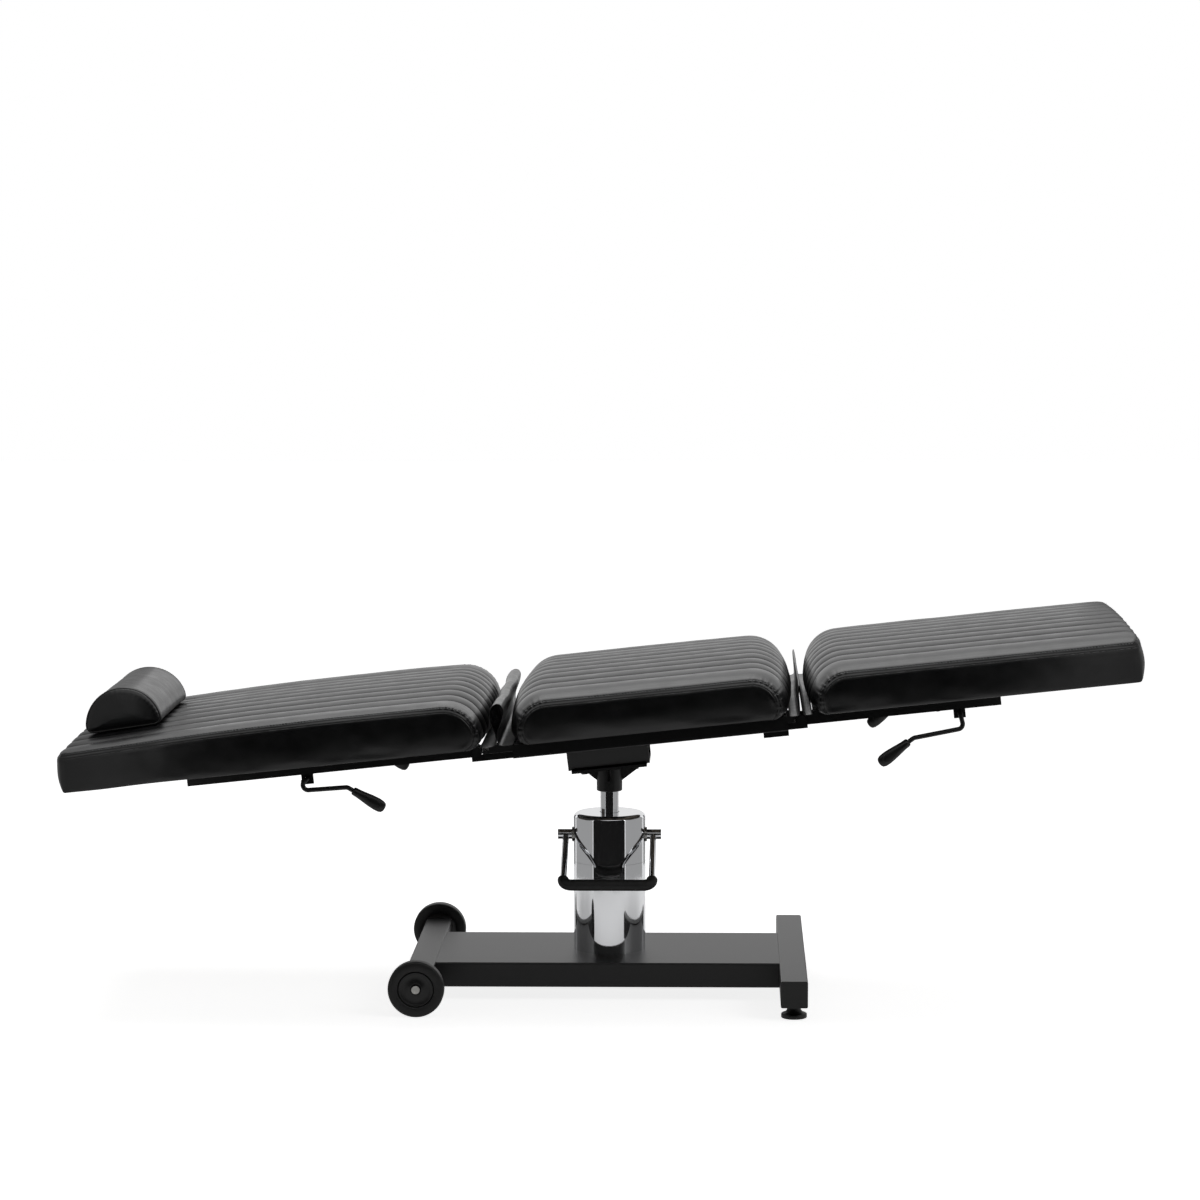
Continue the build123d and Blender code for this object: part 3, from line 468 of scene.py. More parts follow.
# Outline and seam points from the cube's edge in to where the top is straight
def topEnd(end, side, thick, boxed, s):
    if not boxed:
        turns = [math.pi / 4 * (1 - i / s["arcCells"]) for i in range(s["arcCells"] + 1)]
        return arcPoints(end, side, thick, turns, s)
    outer, inner = [], []
    radius, inset = s["boxRoll"], s["boxInset"]
    hubX = end - side * (inset + radius)
    for i in range(s["rollCells"]):
        turn = math.radians(s["rollTurn"]) * (1 - i / s["rollCells"])
        outer.append((hubX + side * radius * math.sin(turn),
                      thick - radius + radius * math.cos(turn)))
        far = end - side * s["footInset"]
        inner.append((mix(far, hubX, i / s["rollCells"]), thick - s["seamDrop"]))
    outer.append((hubX, thick))
    inner.append((hubX, thick - s["seamDrop"]))
    return outer, inner


# A stitched pad before it is filled, as a bmesh, in bed coordinates in millimetres
def padCage(form):
    s = dict(padShared, **form)
    lines = crossLines(s)
    rows = len(s["rowShares"]) - 1
    rear, front = s["rear"], s["front"]
    thickRear, thickFront = s["thickRear"], s["thickFront"]
    rearTop = topEnd(rear, -1, thickRear, s["rearBoxed"], s)
    frontTop = topEnd(front, 1, thickFront, s["frontBoxed"], s)
    startX, stopX = rearTop[0][-1][0], frontTop[0][-1][0]
    count = max(2, round((stopX - startX) / s["cell"]))
    middle = []
    for i in range(1, count):
        t = i / count
        x = mix(startX, stopX, t)
        thick = mix(thickRear, thickFront, t) + s.get("swell", 0) * math.sin(math.pi * t)
        middle.append(((x, thick), (x, thick - s["seamDrop"])))
    outer, inner = [rearTop[n] + [m[n] for m in middle] + frontTop[n][::-1] for n in (0, 1)]
    aCount, bCount = len(outer) - 1, len(lines) - 1
    columns = []
    for end, side, thick, boxed in ((rear, -1, thickRear, s["rearBoxed"]),
                                    (front, 1, thickFront, s["frontBoxed"])):
        columns.append(None if boxed else waterfallColumn(end, side, thick, rows, s))
    lengths = [0.0]
    for a, b in zip(inner, inner[1:]):
        lengths.append(lengths[-1] + math.hypot(b[0] - a[0], b[1] - a[1]))
    total = lengths[-1]

    def hang(x, y):
        if not s.get("hang"):
            return 0.0
        near = smooth(1 - (x - rear) / s["hangLength"])
        wave = mix(s["hangLeastShare"], 1, 0.5 + 0.5 * math.cos(x * s["hangTurn"]))
        return -s["hang"] * near * wave * mix(s["hangMiddleShare"], 1, abs(y) / s["seamY"])

    def bottomEdge(share):
        x0 = columns[0][1][0][0] if columns[0] else rear + s["footInset"]
        x1 = columns[1][1][0][0] if columns[1] else front - s["footInset"]
        return mix(x0, x1, share)

    def sideCurve(which, c):  # rear or front edge of a side panel, seen from the side
        if columns[which]:
            return columns[which][1][c]
        end = (rear, front)[which]
        side = (-1, 1)[which]
        top = (thickRear, thickFront)[which] - s["seamDrop"]
        share = s["rowShares"][c]
        x = end - side * (s["footInset"] * (1 - s["endTuckShare"] * belly(share)))
        return x, mix(hang(end, s["seamY"]), top, share)

    def roundPlan(x, y, side, end):  # brings the corners of a boxed end in to a round
        size = s["planCorner"]
        p = (x - (end - side * size)) * side / size
        q = (abs(y) - (s["seamY"] - size)) / size
        if p <= 0 or q <= 0:
            return x, y
        p, q = min(p, s["cornerLimit"]), min(q, s["cornerLimit"])
        share = s["cornerShare"] / 2
        nx = end - side * size + side * size * p * math.sqrt(max(0, 1 - q * q * share))
        ny = s["seamY"] - size + size * q * math.sqrt(max(0, 1 - p * p * share))
        return nx, math.copysign(ny, y)

    def stripPoint(o, i, line, share):
        y, drop, _ = line
        k = drop / s["seamDrop"]
        return Vector((mix(o[0], i[0], k), y * share, mix(o[1], i[1], k)))

    def place(a, b, c):
        line = lines[b]
        if c == rows:
            point = stripPoint(outer[a], inner[a], line, 1)
        elif a in (0, aCount) and columns[0 if a == 0 else 1]:
            o, i = columns[0 if a == 0 else 1]
            height = i[c][1] / ((thickRear, thickFront)[a > 0] - s["seamDrop"])
            point = stripPoint(o[c], i[c], line, sideY(s, min(1, height)) / s["seamY"])
        elif b in (0, bCount):
            share = s["rowShares"][c]
            t = lengths[a] / total
            low = (bottomEdge(t), hang(bottomEdge(t), s["seamY"]))
            left, right = sideCurve(0, c), sideCurve(1, c)
            corner = [sideCurve(0, 0), sideCurve(1, 0), inner[0], inner[-1]]
            x, z = [(1 - share) * low[n] + share * inner[a][n]
                    + (1 - t) * left[n] + t * right[n]
                    - (1 - share) * ((1 - t) * corner[0][n] + t * corner[1][n])
                    - share * ((1 - t) * corner[2][n] + t * corner[3][n]) for n in (0, 1)]
            y = sideY(s, share) * (-1 if b == 0 else 1)
            point = Vector((x, y, z))
        elif a in (0, aCount):
            which = 0 if a == 0 else 1
            side = (-1, 1)[which]
            end = (rear, front)[which]
            share = s["rowShares"][c]
            top = stripPoint(outer[a], inner[a], line, 1)
            edge = sideCurve(which, c)
            low = hang(end, line[0])
            x = end - side * s["footInset"] * (1 - belly(share))
            x = mix(x, top.x, share ** 3)
            y = line[0] * mix(s["footY"], s["seamY"], share) / s["seamY"]
            point = Vector((x, y, mix(low, top.z, share)))
            near = smooth((abs(line[0]) - s["endEase"][0]) / s["endEase"][1])
            point.x = mix(point.x, edge[0], near)
        else:  # underside: a lap round the board, then hidden inside the board
            t = lengths[a] / total
            x = bottomEdge(t)
            y = line[0] * s["footY"] / s["seamY"]
            inset = min(x - rear, front - x, s["footY"] + s["lapMargin"] - abs(y))
            lapEnd = s["boardInset"] + s["lap"]
            if inset > lapEnd:
                z = s["hiddenLevel"]
            else:
                z = mix(hang(x, y), s["lapLevel"], smooth(inset / s["boardInset"]))
            point = Vector((x, y, z))
        if s["rearBoxed"]:
            point.x, point.y = roundPlan(point.x, point.y, -1, rear)
        if s["frontBoxed"]:
            point.x, point.y = roundPlan(point.x, point.y, 1, front)
        return point

    bm = blockMesh((aCount, bCount, rows))
    seamLayer, stripLayer, ditchLayer, underLayer, arcLayer = vertexLayers(
        bm, "seamOn", "strip", "ditch", "under", "arc")
    crease = bm.edges.layers.float.new("crease_edge")
    index = {v: tuple(round(c) for c in v.co) for v in bm.verts}
    boxedEnd = {0: s["rearBoxed"], aCount: s["frontBoxed"]}
    for v, (a, b, c) in index.items():
        onEnd = a in (0, aCount)
        onSide = b in (0, bCount)
        top = c == rows
        falls = onEnd and not boxedEnd[a]
        onStrip = top or falls
        v[seamLayer] = 1.0 if (onSide and onStrip) or (onEnd and top and boxedEnd[a]) else 0.0
        v[stripLayer] = 1.0 if onStrip and not (onSide and onStrip) else 0.0
        if v[seamLayer]:
            v[stripLayer] = 0.5
        v[ditchLayer] = 1.0 if onStrip and lines[b][2] else 0.0
        v[underLayer] = 1.0 if c == 0 else 0.0
        arcReach = s["arcCells"]
        inArc = (falls or (top and ((a <= arcReach and columns[0]) or
                                    (a >= aCount - arcReach and columns[1]))))
        v[arcLayer] = 1.0 if inArc else 0.0
    for e in bm.edges:
        one, two = e.verts
        if one[ditchLayer] and two[ditchLayer] and index[one][1] == index[two][1]:
            e[crease] = s["ditchCrease"]
        elif one[seamLayer] and two[seamLayer]:
            e[crease] = s["seamCrease"]
    for v, (a, b, c) in index.items():
        v.co = place(a, b, c)
    return bm


padForms = {
    "seatPad": {"rear": -165.0, "front": 325.0, "thickRear": 93.0, "thickFront": 93.0,
                "rearBoxed": False, "frontBoxed": False, "body": "seat",
                "node": "seat_cushion", "fill": 0.85, "seed": 3.1,
                "squeeze": (325.0, 0.993)},
    "backPad": {"rear": -931.0, "front": -197.0, "thickRear": 77.0, "thickFront": 91.0,
                "swell": 6.0, "seamDrop": 16.0,
                "border": [(224, 12.4), (230, 9.4), (240, 8.2), (253, 7.8), (266, 8.0),
                           (277, 8.6), (286, 9.6), (292, 11.0), (295.8, 13.0), (298, 16.0)],
                "rearBoxed": True, "frontBoxed": False, "body": "back",
                "node": "back_cushion", "fill": 0.8, "seed": 7.7,
                "squeeze": (-931.0, 0.989), "hang": 4.0,
                "hangLength": 190.0, "hangTurn": 0.045, "hangLeastShare": 0.64,
                "hangMiddleShare": 0.55},
    "legPad": {"rear": 343.5, "front": 918.5, "thickRear": 90.0, "thickFront": 90.0,
               "rearBoxed": False, "frontBoxed": True, "body": "leg",
               "node": "leg_cushion", "fill": 0.85, "seed": 12.3}}
clothSettings = {"frames": 18, "pressure": 4.0, "cap": 4.5 * mm, "quality": 6,
                 "mass": 0.25, "tension": 22, "compression": 18, "bending": 3}


# Blows the cover out between its seams and channels, then keeps that form
def fillPad(piece, pinned):
    rest = coordinates(piece.data)
    held = np.max([readAttribute(piece.data, name) for name in pinned], axis=0) > 0.5
    group = piece.vertex_groups.new(name="held")
    group.add([int(i) for i in np.where(held)[0]], 1.0, "REPLACE")
    cloth = piece.modifiers.new("filling", "CLOTH")
    cloth.settings.quality = clothSettings["quality"]
    cloth.settings.mass = clothSettings["mass"]
    cloth.settings.tension_stiffness = clothSettings["tension"]
    cloth.settings.compression_stiffness = clothSettings["compression"]
    cloth.settings.bending_stiffness = clothSettings["bending"]
    cloth.settings.use_pressure = True
    cloth.settings.uniform_pressure_force = clothSettings["pressure"]
    cloth.settings.vertex_group_mass = "held"
    cloth.settings.effector_weights.gravity = 0
    cloth.point_cache.frame_start = 1
    cloth.point_cache.frame_end = clothSettings["frames"]
    scene = bpy.context.scene
    for i in range(1, clothSettings["frames"] + 1):
        scene.frame_set(i)
    graph = bpy.context.evaluated_depsgraph_get()
    moved = coordinates(piece.evaluated_get(graph).data)
    piece.modifiers.clear()
    scene.frame_set(1)
    shift = moved - rest
    length = np.linalg.norm(shift, axis=1, keepdims=True)
    cap = clothSettings["cap"]
    shift *= np.tanh(length / cap) * cap / np.maximum(length, 1e-9)
    setCoordinates(piece.data, rest + shift)
    piece.vertex_groups.clear()
    print("filled", piece.name, "largest move mm", round(float(length.max() / mm), 2), flush=True)


def seamChains(mesh):  # rows of seam vertices in order, as lists of vertex numbers
    on = readAttribute(mesh, "seamOn") > 0.999
    joined = {}
    for e in mesh.edges:
        a, b = e.vertices
        if on[a] and on[b]:
            joined.setdefault(a, []).append(b)
            joined.setdefault(b, []).append(a)
    seen, chains = set(), []
    starts = [v for v, n in joined.items() if len(n) == 1] + list(joined)
    for start in starts:
        if start in seen:
            continue
        chain = [start]
        seen.add(start)
        while True:
            ahead = [n for n in joined[chain[-1]] if n not in seen]
            if not ahead:
                break
            chain.append(ahead[0])
            seen.add(ahead[0])
        if len(chain) >= seamForm["shortestRow"]:
            chains.append(chain)
    return chains


seamForm = {"reach": 60.0, "find": 0.055, "pinch": 1.5, "pinchWidth": 2.2, "welt": 0.55,
            "weltPlace": 9.0, "weltWidth": 4.0, "foldLimit": 45.0, "foldFade": 11.0,
            "foldStart": 2.5, "foldPitch": 9.5, "shortPitch": 5.7, "drift": 31,
            "wander": 1.3, "shortShare": 0.5, "straightFold": 0.1, "arcFold": 0.65,
            "slack": 1.6, "slackAcross": (95, 60, 60), "ripple": 0.55,
            "rippleAcross": (34, 22, 24), "topShare": 0.35, "shortestRow": 9}


# Seam pinches, puckers and slack, with the distance from the seam kept as data
def dressPad(piece, seed):
    s = seamForm
    mesh = piece.data
    co = coordinates(mesh)
    out = normals(mesh)
    strip = readAttribute(mesh, "strip")
    arc = readAttribute(mesh, "arc")
    chains = seamChains(mesh)
    spots = [(c, k) for c, chain in enumerate(chains) for k in range(len(chain))]
    tree = pointTree(co[[i for chain in chains for i in chain]], range(len(spots)))
    runs = []
    for chain in chains:
        steps = np.linalg.norm(np.diff(co[chain], axis=0), axis=1)
        runs.append(np.concatenate([[0], np.cumsum(steps)]))
    offset = np.full(len(co), s["reach"])
    along = np.zeros(len(co))
    for i in range(len(co)):
        spot, n, distance = tree.find(co[i])
        if distance > s["find"]:
            continue
        c, k = spots[n]
        chain = chains[c]
        ahead = co[chain[min(k + 1, len(chain) - 1)]] - co[chain[max(k - 1, 0)]]
        ahead /= max(np.linalg.norm(ahead), 1e-9)
        gap = co[i] - np.array(spot)
        slide = float(gap @ ahead)
        offset[i] = math.sqrt(max(0.0, float(gap @ gap) - slide * slide)) / mm
        along[i] = (runs[c][k] + slide) / mm + 1000 * c
    signed = np.where(strip >= 0.5, offset, -offset)
    writeAttribute(mesh, "seamOffset", signed)
    push = -s["pinch"] * np.exp(-(offset / s["pinchWidth"]) ** 2)
    push += s["welt"] * np.exp(-((offset - s["weltPlace"]) / s["weltWidth"]) ** 2)
    for i in range(len(co)):
        spot = Vector(co[i]) * 1000
        if arc[i] > 0.02 or offset[i] < s["foldLimit"]:
            reach = math.exp(-offset[i] / s["foldFade"]) * min(1.0, offset[i] / s["foldStart"])
            a = along[i]
            wander = s["wander"] * math.sin(a / s["drift"] + seed)
            fold = (math.sin(a / s["foldPitch"] * 2 * math.pi + wander)
                    + s["shortShare"] * math.sin(a / s["shortPitch"] * 2 * math.pi + seed))
            push[i] += fold * reach * (s["straightFold"] + s["arcFold"] * arc[i])
        x, y, z = (c / across for c, across in zip(spot, s["slackAcross"]))
        slack = noise.noise(Vector((x + seed, y, z)))
        x, y, z = (c / across for c, across in zip(spot, s["rippleAcross"]))
        ripple = noise.noise(Vector((x, y + seed, z)))
        loose = 1.0 if strip[i] < 0.5 else s["topShare"]
        push[i] += (slack * s["slack"] + ripple * s["ripple"]) * loose
    push *= 1 - readAttribute(mesh, "under")
    setCoordinates(mesh, co + out * push[:, None] * mm)
    return chains


# Short threads in two rows, one each side of the seam, sunk at both ends
def stitchRows(piece, chains, name, body, settings):
    mesh = piece.data
    co = coordinates(mesh)
    out = normals(mesh)
    offsets = readAttribute(mesh, "seamOffset")
    bm = bmesh.new()
    tree = pointTree(co, range(len(co)))
    near = [i for i in range(len(co)) if abs(offsets[i]) < settings["reach"]]
    sides = {1: pointTree(co, [i for i in near if offsets[i] > 0]),
             -1: pointTree(co, [i for i in near if offsets[i] <= 0])}
    pitch, length, radius = (settings[k] * mm for k in ("pitch", "length", "radius"))
    for chain in chains:
        points = [Vector(co[i]) for i in chain]
        run = 0.0
        target = pitch
        for a, b in zip(points, points[1:]):
            step = (b - a).length
            while run + step >= target:
                spot = a + (b - a) * ((target - run) / step)
                target += pitch
                ahead = (b - a).normalized()
                for side in (1, -1):
                    found = sides[side].find(spot)
                    if found[0] is None:
                        continue
                    nearNormal = Vector(out[tree.find(spot)[1]])
                    across = ahead.cross(nearNormal).normalized()
                    guess = Vector(found[0]) - spot
                    if across.dot(guess) < 0:
                        across = -across
                    goal = spot + across * settings["row"] * mm
                    place, i, _ = sides[side].find(goal)
                    normal = Vector(out[i])
                    flat = goal - normal * (goal - Vector(place)).dot(normal)
                    addThread(bm, flat, ahead, normal, length, radius)
            run += step
    threads = finishMesh(bm, name, Matrix.Identity(4))
    dress(threads, thread, body)
    return threads


# One stitch a unit long: a six-sided sliver, thick in the middle, to be copied in place
def threadMesh():
    bm = bmesh.new()
    bmesh.ops.create_uvsphere(bm, u_segments=6, v_segments=4, radius=1.0)
    mesh = bpy.data.meshes.new("thread")
    bm.to_mesh(mesh)
    bm.free()
    return mesh


def addThread(bm, spot, ahead, normal, length, radius):  # one stitch, sunk almost to half
    side = ahead.cross(normal).normalized()
    turn = Matrix((side, normal, ahead)).transposed().to_4x4()
    size = Matrix.Diagonal((radius, radius, length / 2, 1))
    copy = oneThread.copy()
    raised = spot + normal * radius * stitchSettings["rise"]
    copy.transform(Matrix.Translation(raised) @ turn @ size)
    bm.from_mesh(copy)
    bpy.data.meshes.remove(copy)


oneThread = threadMesh()
stitchSettings = {"pitch": 5.2, "length": 4.1, "radius": 0.42, "reach": 9.0,
                  "row": leatherSettings["stitchRow"], "rise": 0.25}
for name, form in padForms.items():
    pad = finishMesh(padCage(form), name, bedPlace)
    fillPad(pad, ("seamOn", "ditch", "under"))
    subdivideMesh(pad, 2)
    chains = dressPad(pad, form["seed"])
    dress(pad, leather, form["body"], form["node"])
    threads = stitchRows(pad, chains, name + "Stitches", form["body"], stitchSettings)
    if "squeeze" in form:  # pads with a squeeze setting get meshes of their own
        for piece in (pad, threads):
            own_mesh(piece)
    print(name, "faces", len(pad.data.polygons), "chains", [len(c) for c in chains], flush=True)


# Head pillow
pillowForm = {"centre": -828.0, "lift": 80.8, "lean": 2.4, "halfWidth": 66.0, "height": 70.0,
              "foot": 12.0, "footRound": 9.0, "halfLength": 148.0, "arcPoints": 22,
              "underPoints": 6, "rows": 15, "cord": 2.1, "fill": 0.8, "seed": 5.2,
              "pucker": 0.22, "crease": 0.8, "domeCentreShare": 0.4,
              "domeSteps": ((0.93, 2.4), (0.85, 4.6), (0.72, 6.2), (0.6, 7.0))}


def pillowOutline(s):  # D-shaped section from the front foot over the top to the rear foot
    half, top, foot = s["halfWidth"], s["height"], s["foot"]
    radius = (half ** 2 + (top - foot) ** 2) / (2 * (top - foot))
    hub = top - radius
    reach = math.atan2(half, foot - hub)
    points = []
    for i in range(s["arcPoints"] + 1):
        turn = mix(reach, -reach, i / s["arcPoints"])
        points.append((radius * math.sin(turn), hub + radius * math.cos(turn)))
    small = s["footRound"]
    for i in (1, 2, 3):
        turn = math.pi / 2 * i / 3
        points.append((-half + small * (1 - math.cos(turn)), foot * (1 - math.sin(turn))))
    for i in range(1, s["underPoints"]):
        points.append((mix(-half + small, half - small, i / s["underPoints"]), 0.0))
    for i in (3, 2, 1):
        turn = math.pi / 2 * i / 3
        points.append((half - small * (1 - math.cos(turn)), foot * (1 - math.sin(turn))))
    return points


def pillowCage(s):
    bm = bmesh.new()
    ring = [bm.verts.new((x, -s["halfLength"], z)) for x, z in pillowOutline(s)]
    made = bmesh.ops.extrude_face_region(bm, geom=[bm.faces.new(ring)])
    moved = [g for g in made["geom"] if isinstance(g, bmesh.types.BMVert)]
    bmesh.ops.translate(bm, verts=moved, vec=(0, 2 * s["halfLength"], 0))
    bmesh.ops.holes_fill(bm, edges=[e for e in bm.edges if e.is_boundary], sides=0)
    for i in range(1, s["rows"]):
        y = mix(-s["halfLength"], s["halfLength"], i / s["rows"])
        cutAcross(bm, (0, y, 0), (0, 1, 0))
    bmesh.ops.recalc_face_normals(bm, faces=bm.faces[:])
    seam, strip, under, arc = vertexLayers(bm, "seamOn", "strip", "under", "arc")
    crease = bm.edges.layers.float.new("crease_edge")
    for v in bm.verts:
        atEnd = abs(v.co.y) > s["halfLength"] - 0.1
        v[seam] = 1.0 if atEnd else 0.0
        v[strip] = 0.5 if atEnd else 1.0
        v[under] = 1.0 if v.co.z < 1 else 0.0
        v[arc] = s["pucker"]
    for e in bm.edges:
        if e.verts[0][seam] and e.verts[1][seam]:
            e[crease] = s["crease"]
    caps = [f for f in bm.faces if len(f.verts) > 4]
    for f in caps:
        middle = s["height"] * s["domeCentreShare"]
        side = math.copysign(1, f.calc_center_median().y)
        for share, rise in s["domeSteps"]:
            bmesh.ops.inset_region(bm, faces=[f], thickness=0.01, use_even_offset=False)
            for v in f.verts:
                v.co.x *= share
                v.co.z = middle + (v.co.z - middle) * share
                v.co.y = side * (s["halfLength"] + rise)
    for f in bmesh.ops.poke(bm, faces=caps)["faces"]:
        f.smooth = True
    for v in bm.verts:
        if abs(v.co.y) > s["halfLength"] + 0.5:
            v[seam] = v[strip] = 0.0
    return bm


pillowPlace = (bedPlace @ Matrix.Translation((pillowForm["centre"], 0, pillowForm["lift"]))
               @ Matrix.Rotation(math.radians(-pillowForm["lean"]), 4, "Y"))
pillow = finishMesh(pillowCage(pillowForm), "headPillow", pillowPlace)
fillPad(pillow, ("seamOn", "under"))
subdivideMesh(pillow, 2)
pillowChains = dressPad(pillow, pillowForm["seed"])
dress(pillow, plainLeather, "back", "head_pillow")
cordMesh = bmesh.new()
pillowPoints = coordinates(pillow.data)
for chain in pillowChains:
    route = [Vector(pillowPoints[i]) for i in chain[::2]]
    size = pillowForm["cord"] * mm
    sweepTube(cordMesh, route, [(size, size)] * len(route), sides=8, closed=True,
              up=(0, 1, 0))
piping = finishMesh(cordMesh, "pillowPiping", Matrix.Identity(4))
dress(piping, plainLeather, "back")
print("pillow faces", len(pillow.data.polygons), "cords", len(pillowChains), flush=True)


# Gap flaps: strips of leatherette folded double, with both edges held on the frame
flapForms = {
    "backFlap": {"route": ((-211, 1.8), (-203, 0.9), (-190, 1.2), (-183.4, 4), (-182.2, 13),
                           (-183.4, 24), (-187.6, 39), (-189.6, 52), (-188, 63),
                           (-182.5, 70.5), (-175, 73.6), (-168.5, 71), (-165.5, 63.5),
                           (-167.5, 53), (-172, 41), (-178.2, 28), (-180.3, 18),
                           (-180.4, 10), (-179.4, 4), (-173, 1.2), (-163, 0.9), (-154, 1.8)),
                 "half": 282.0, "wave": 2.2, "farDrop": 0.13, "seed": 2.7,
                 "node": "back_gap_flap"},
    "legFlap": {"route": ((313, 1.6), (320, 1.0), (327, 1.2), (331.6, 3.2), (332.6, 12),
                          (332.9, 26), (333.0, 38), (333.2, 46), (333.9, 50.4),
                          (335.0, 51.8), (336.0, 50.4), (336.5, 46), (336.3, 38),
                          (336.0, 26), (335.8, 12), (337.0, 3.2), (341.5, 1.2), (347, 1.0),
                          (353, 1.6)),
                "half": 282.0, "wave": 0.5, "farDrop": 0.08, "seed": 8.1,
                "node": "leg_gap_flap"}}
flapSheet = {"thickness": 1.1, "columns": 56, "sag": 0.03, "bendStart": 338.0,
             "bendEnd": 346.0, "pressedTo": -158.0, "pressedShare": 0.1, "lean": 1.6,
             "leanAlong": 130, "ripple": 0.5, "rippleAlong": 42, "rippleUp": 60}


def flapMesh(s):  # the folded strip, drawn out across the bed from its folded route
    route = [Vector((x, -s["half"], z)) for x, z in s["route"]]
    bm = bmesh.new()
    verts = [bm.verts.new(p) for p in route]
    edges = [bm.edges.new(pair) for pair in zip(verts, verts[1:])]
    bmesh.ops.subdivide_edges(bm, edges=edges, cuts=1, smooth=0.7)
    strip = bm.edges[:]
    step = 2 * s["half"] / flapSheet["columns"]
    for _ in range(flapSheet["columns"]):
        made = bmesh.ops.extrude_edge_only(bm, edges=strip)["geom"]
        fresh = {g for g in made if isinstance(g, bmesh.types.BMVert)}
        strip = [g for g in made if isinstance(g, bmesh.types.BMEdge)
                 and g.verts[0] in fresh and g.verts[1] in fresh]
        bmesh.ops.translate(bm, verts=list(fresh), vec=(0, step, 0))
    foot = s["route"][0][1]
    top = max(z for _, z in s["route"])
    for v in bm.verts:
        share = (v.co.z - foot) / (top - foot)
        lean = noise.noise(Vector((s["seed"], v.co.y / flapSheet["leanAlong"], 0)))
        ripple = noise.noise(Vector((s["seed"] + 9, v.co.y / flapSheet["rippleAlong"],
                                     v.co.z / flapSheet["rippleUp"])))
        v.co.x += s["wave"] * share * (lean * flapSheet["lean"] + ripple * flapSheet["ripple"])
        sag = s["farDrop"] * (0.5 + 0.5 * v.co.y / s["half"])
        sag += flapSheet["sag"] * (1 - (v.co.y / s["half"]) ** 2 + lean)
        v.co.z = foot + (v.co.z - foot) * (1 - sag)
    bmesh.ops.recalc_face_normals(bm, faces=bm.faces[:])
    return bm


for name, form in flapForms.items():
    flap = finishMesh(flapMesh(form), name, bedPlace)
    wall = flap.modifiers.new("thickness", "SOLIDIFY")
    wall.thickness = flapSheet["thickness"] * mm
    wall.offset = 0
    subdivideMesh(flap, 1)
    flap.data.materials.append(plainLeather)
    if name == "backFlap":
        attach(flap, "seat")
    else:  # its front foot is stapled under the leg pad; here the piece is baked in place on no moving body
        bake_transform(flap)
    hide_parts(form["node"])
    if name == "backFlap":  # the back flap gets a mesh of its own
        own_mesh(flap)
    print(name, "faces", len(flap.data.polygons), flush=True)


# Pedal sleeve: a rubber hose pushed over the bar and round both corners of the loop
sleeveForm = {"spread": 77.0, "reach": 130.0, "height": 202.0, "bend": 14.0, "hold": 3.0,
              "radius": 10.0, "rod": 5.6, "slope": math.atan2(68.0, 130.0)}


def sleeveRoute(s):  # half of the route, from the left arm to the middle of the bar
    back = Vector((0, math.cos(s["slope"]), math.sin(s["slope"])))
    corner = Vector((-s["spread"], -s["reach"], s["height"]))
    inward = Vector((1, 0, 0))
    hub = corner + (back + inward) * s["bend"]
    points = [corner + back * (s["bend"] + s["hold"] * t) for t in (1.0, 0.93, 0.8, 0.5, 0.2)]
    for i in range(9):
        turn = math.pi / 2 * i / 8
        points.append(hub - (inward * math.cos(turn) + back * math.sin(turn)) * s["bend"])
    points += [corner + inward * mix(s["bend"], s["spread"], t) for t in (0.15, 0.5, 0.85, 1.0)]
    return points


route = sleeveRoute(sleeveForm)
route += [Vector((-p.x, p.y, p.z)) for p in route[-2::-1]]
ends = [sleeveForm["rod"], sleeveForm["rod"] + 2.0, sleeveForm["radius"] - 0.4]
sizes = ends + [sleeveForm["radius"]] * (len(route) - 6) + ends[::-1]
sleeveMesh = bmesh.new()
sweepTube(sleeveMesh, route, [(r, r) for r in sizes], sides=20, up=(0, 0, 1))
sleeve = finishMesh(sleeveMesh, "pedalSleeve", columnPlace)
subdivideMesh(sleeve, 1)
dress(sleeve, rubber, "pedal", "pedal_sleeve")
print("sleeve faces", len(sleeve.data.polygons), flush=True)


# Release grips: moulded spoons with a flat neck end and a rimmed recess facing out
gripForms = {
    "backReleaseGrips": {"start": (-437.1, -54.5), "end": (-386.9, -90.9),
                         "body": "back_lever", "node": "back_release_grips"},
    "legReleaseGrips": {"start": (510.1, -67.7), "end": (457.2, -100.0),
                        "body": "leg_lever", "node": "leg_release_grips"}}
gripShape = {"spread": 240.0, "sections": (
    (0.0, 5.4, 5.4), (0.015, 6.6, 6.6), (0.06, 7.2, 7.0), (0.2, 7.6, 6.6), (0.36, 8.9, 6.1),
    (0.55, 10.4, 5.9), (0.74, 11.2, 5.7), (0.88, 10.6, 5.0), (0.955, 8.6, 4.1),
    (0.988, 5.6, 2.9), (1.0, 2.0, 1.2)),
    "rimCentre": 0.66, "rimLength": 13.0, "rimHeight": 6.2, "rimRound": 0.8, "rimLift": 4.9,
    "rimSteps": 28}


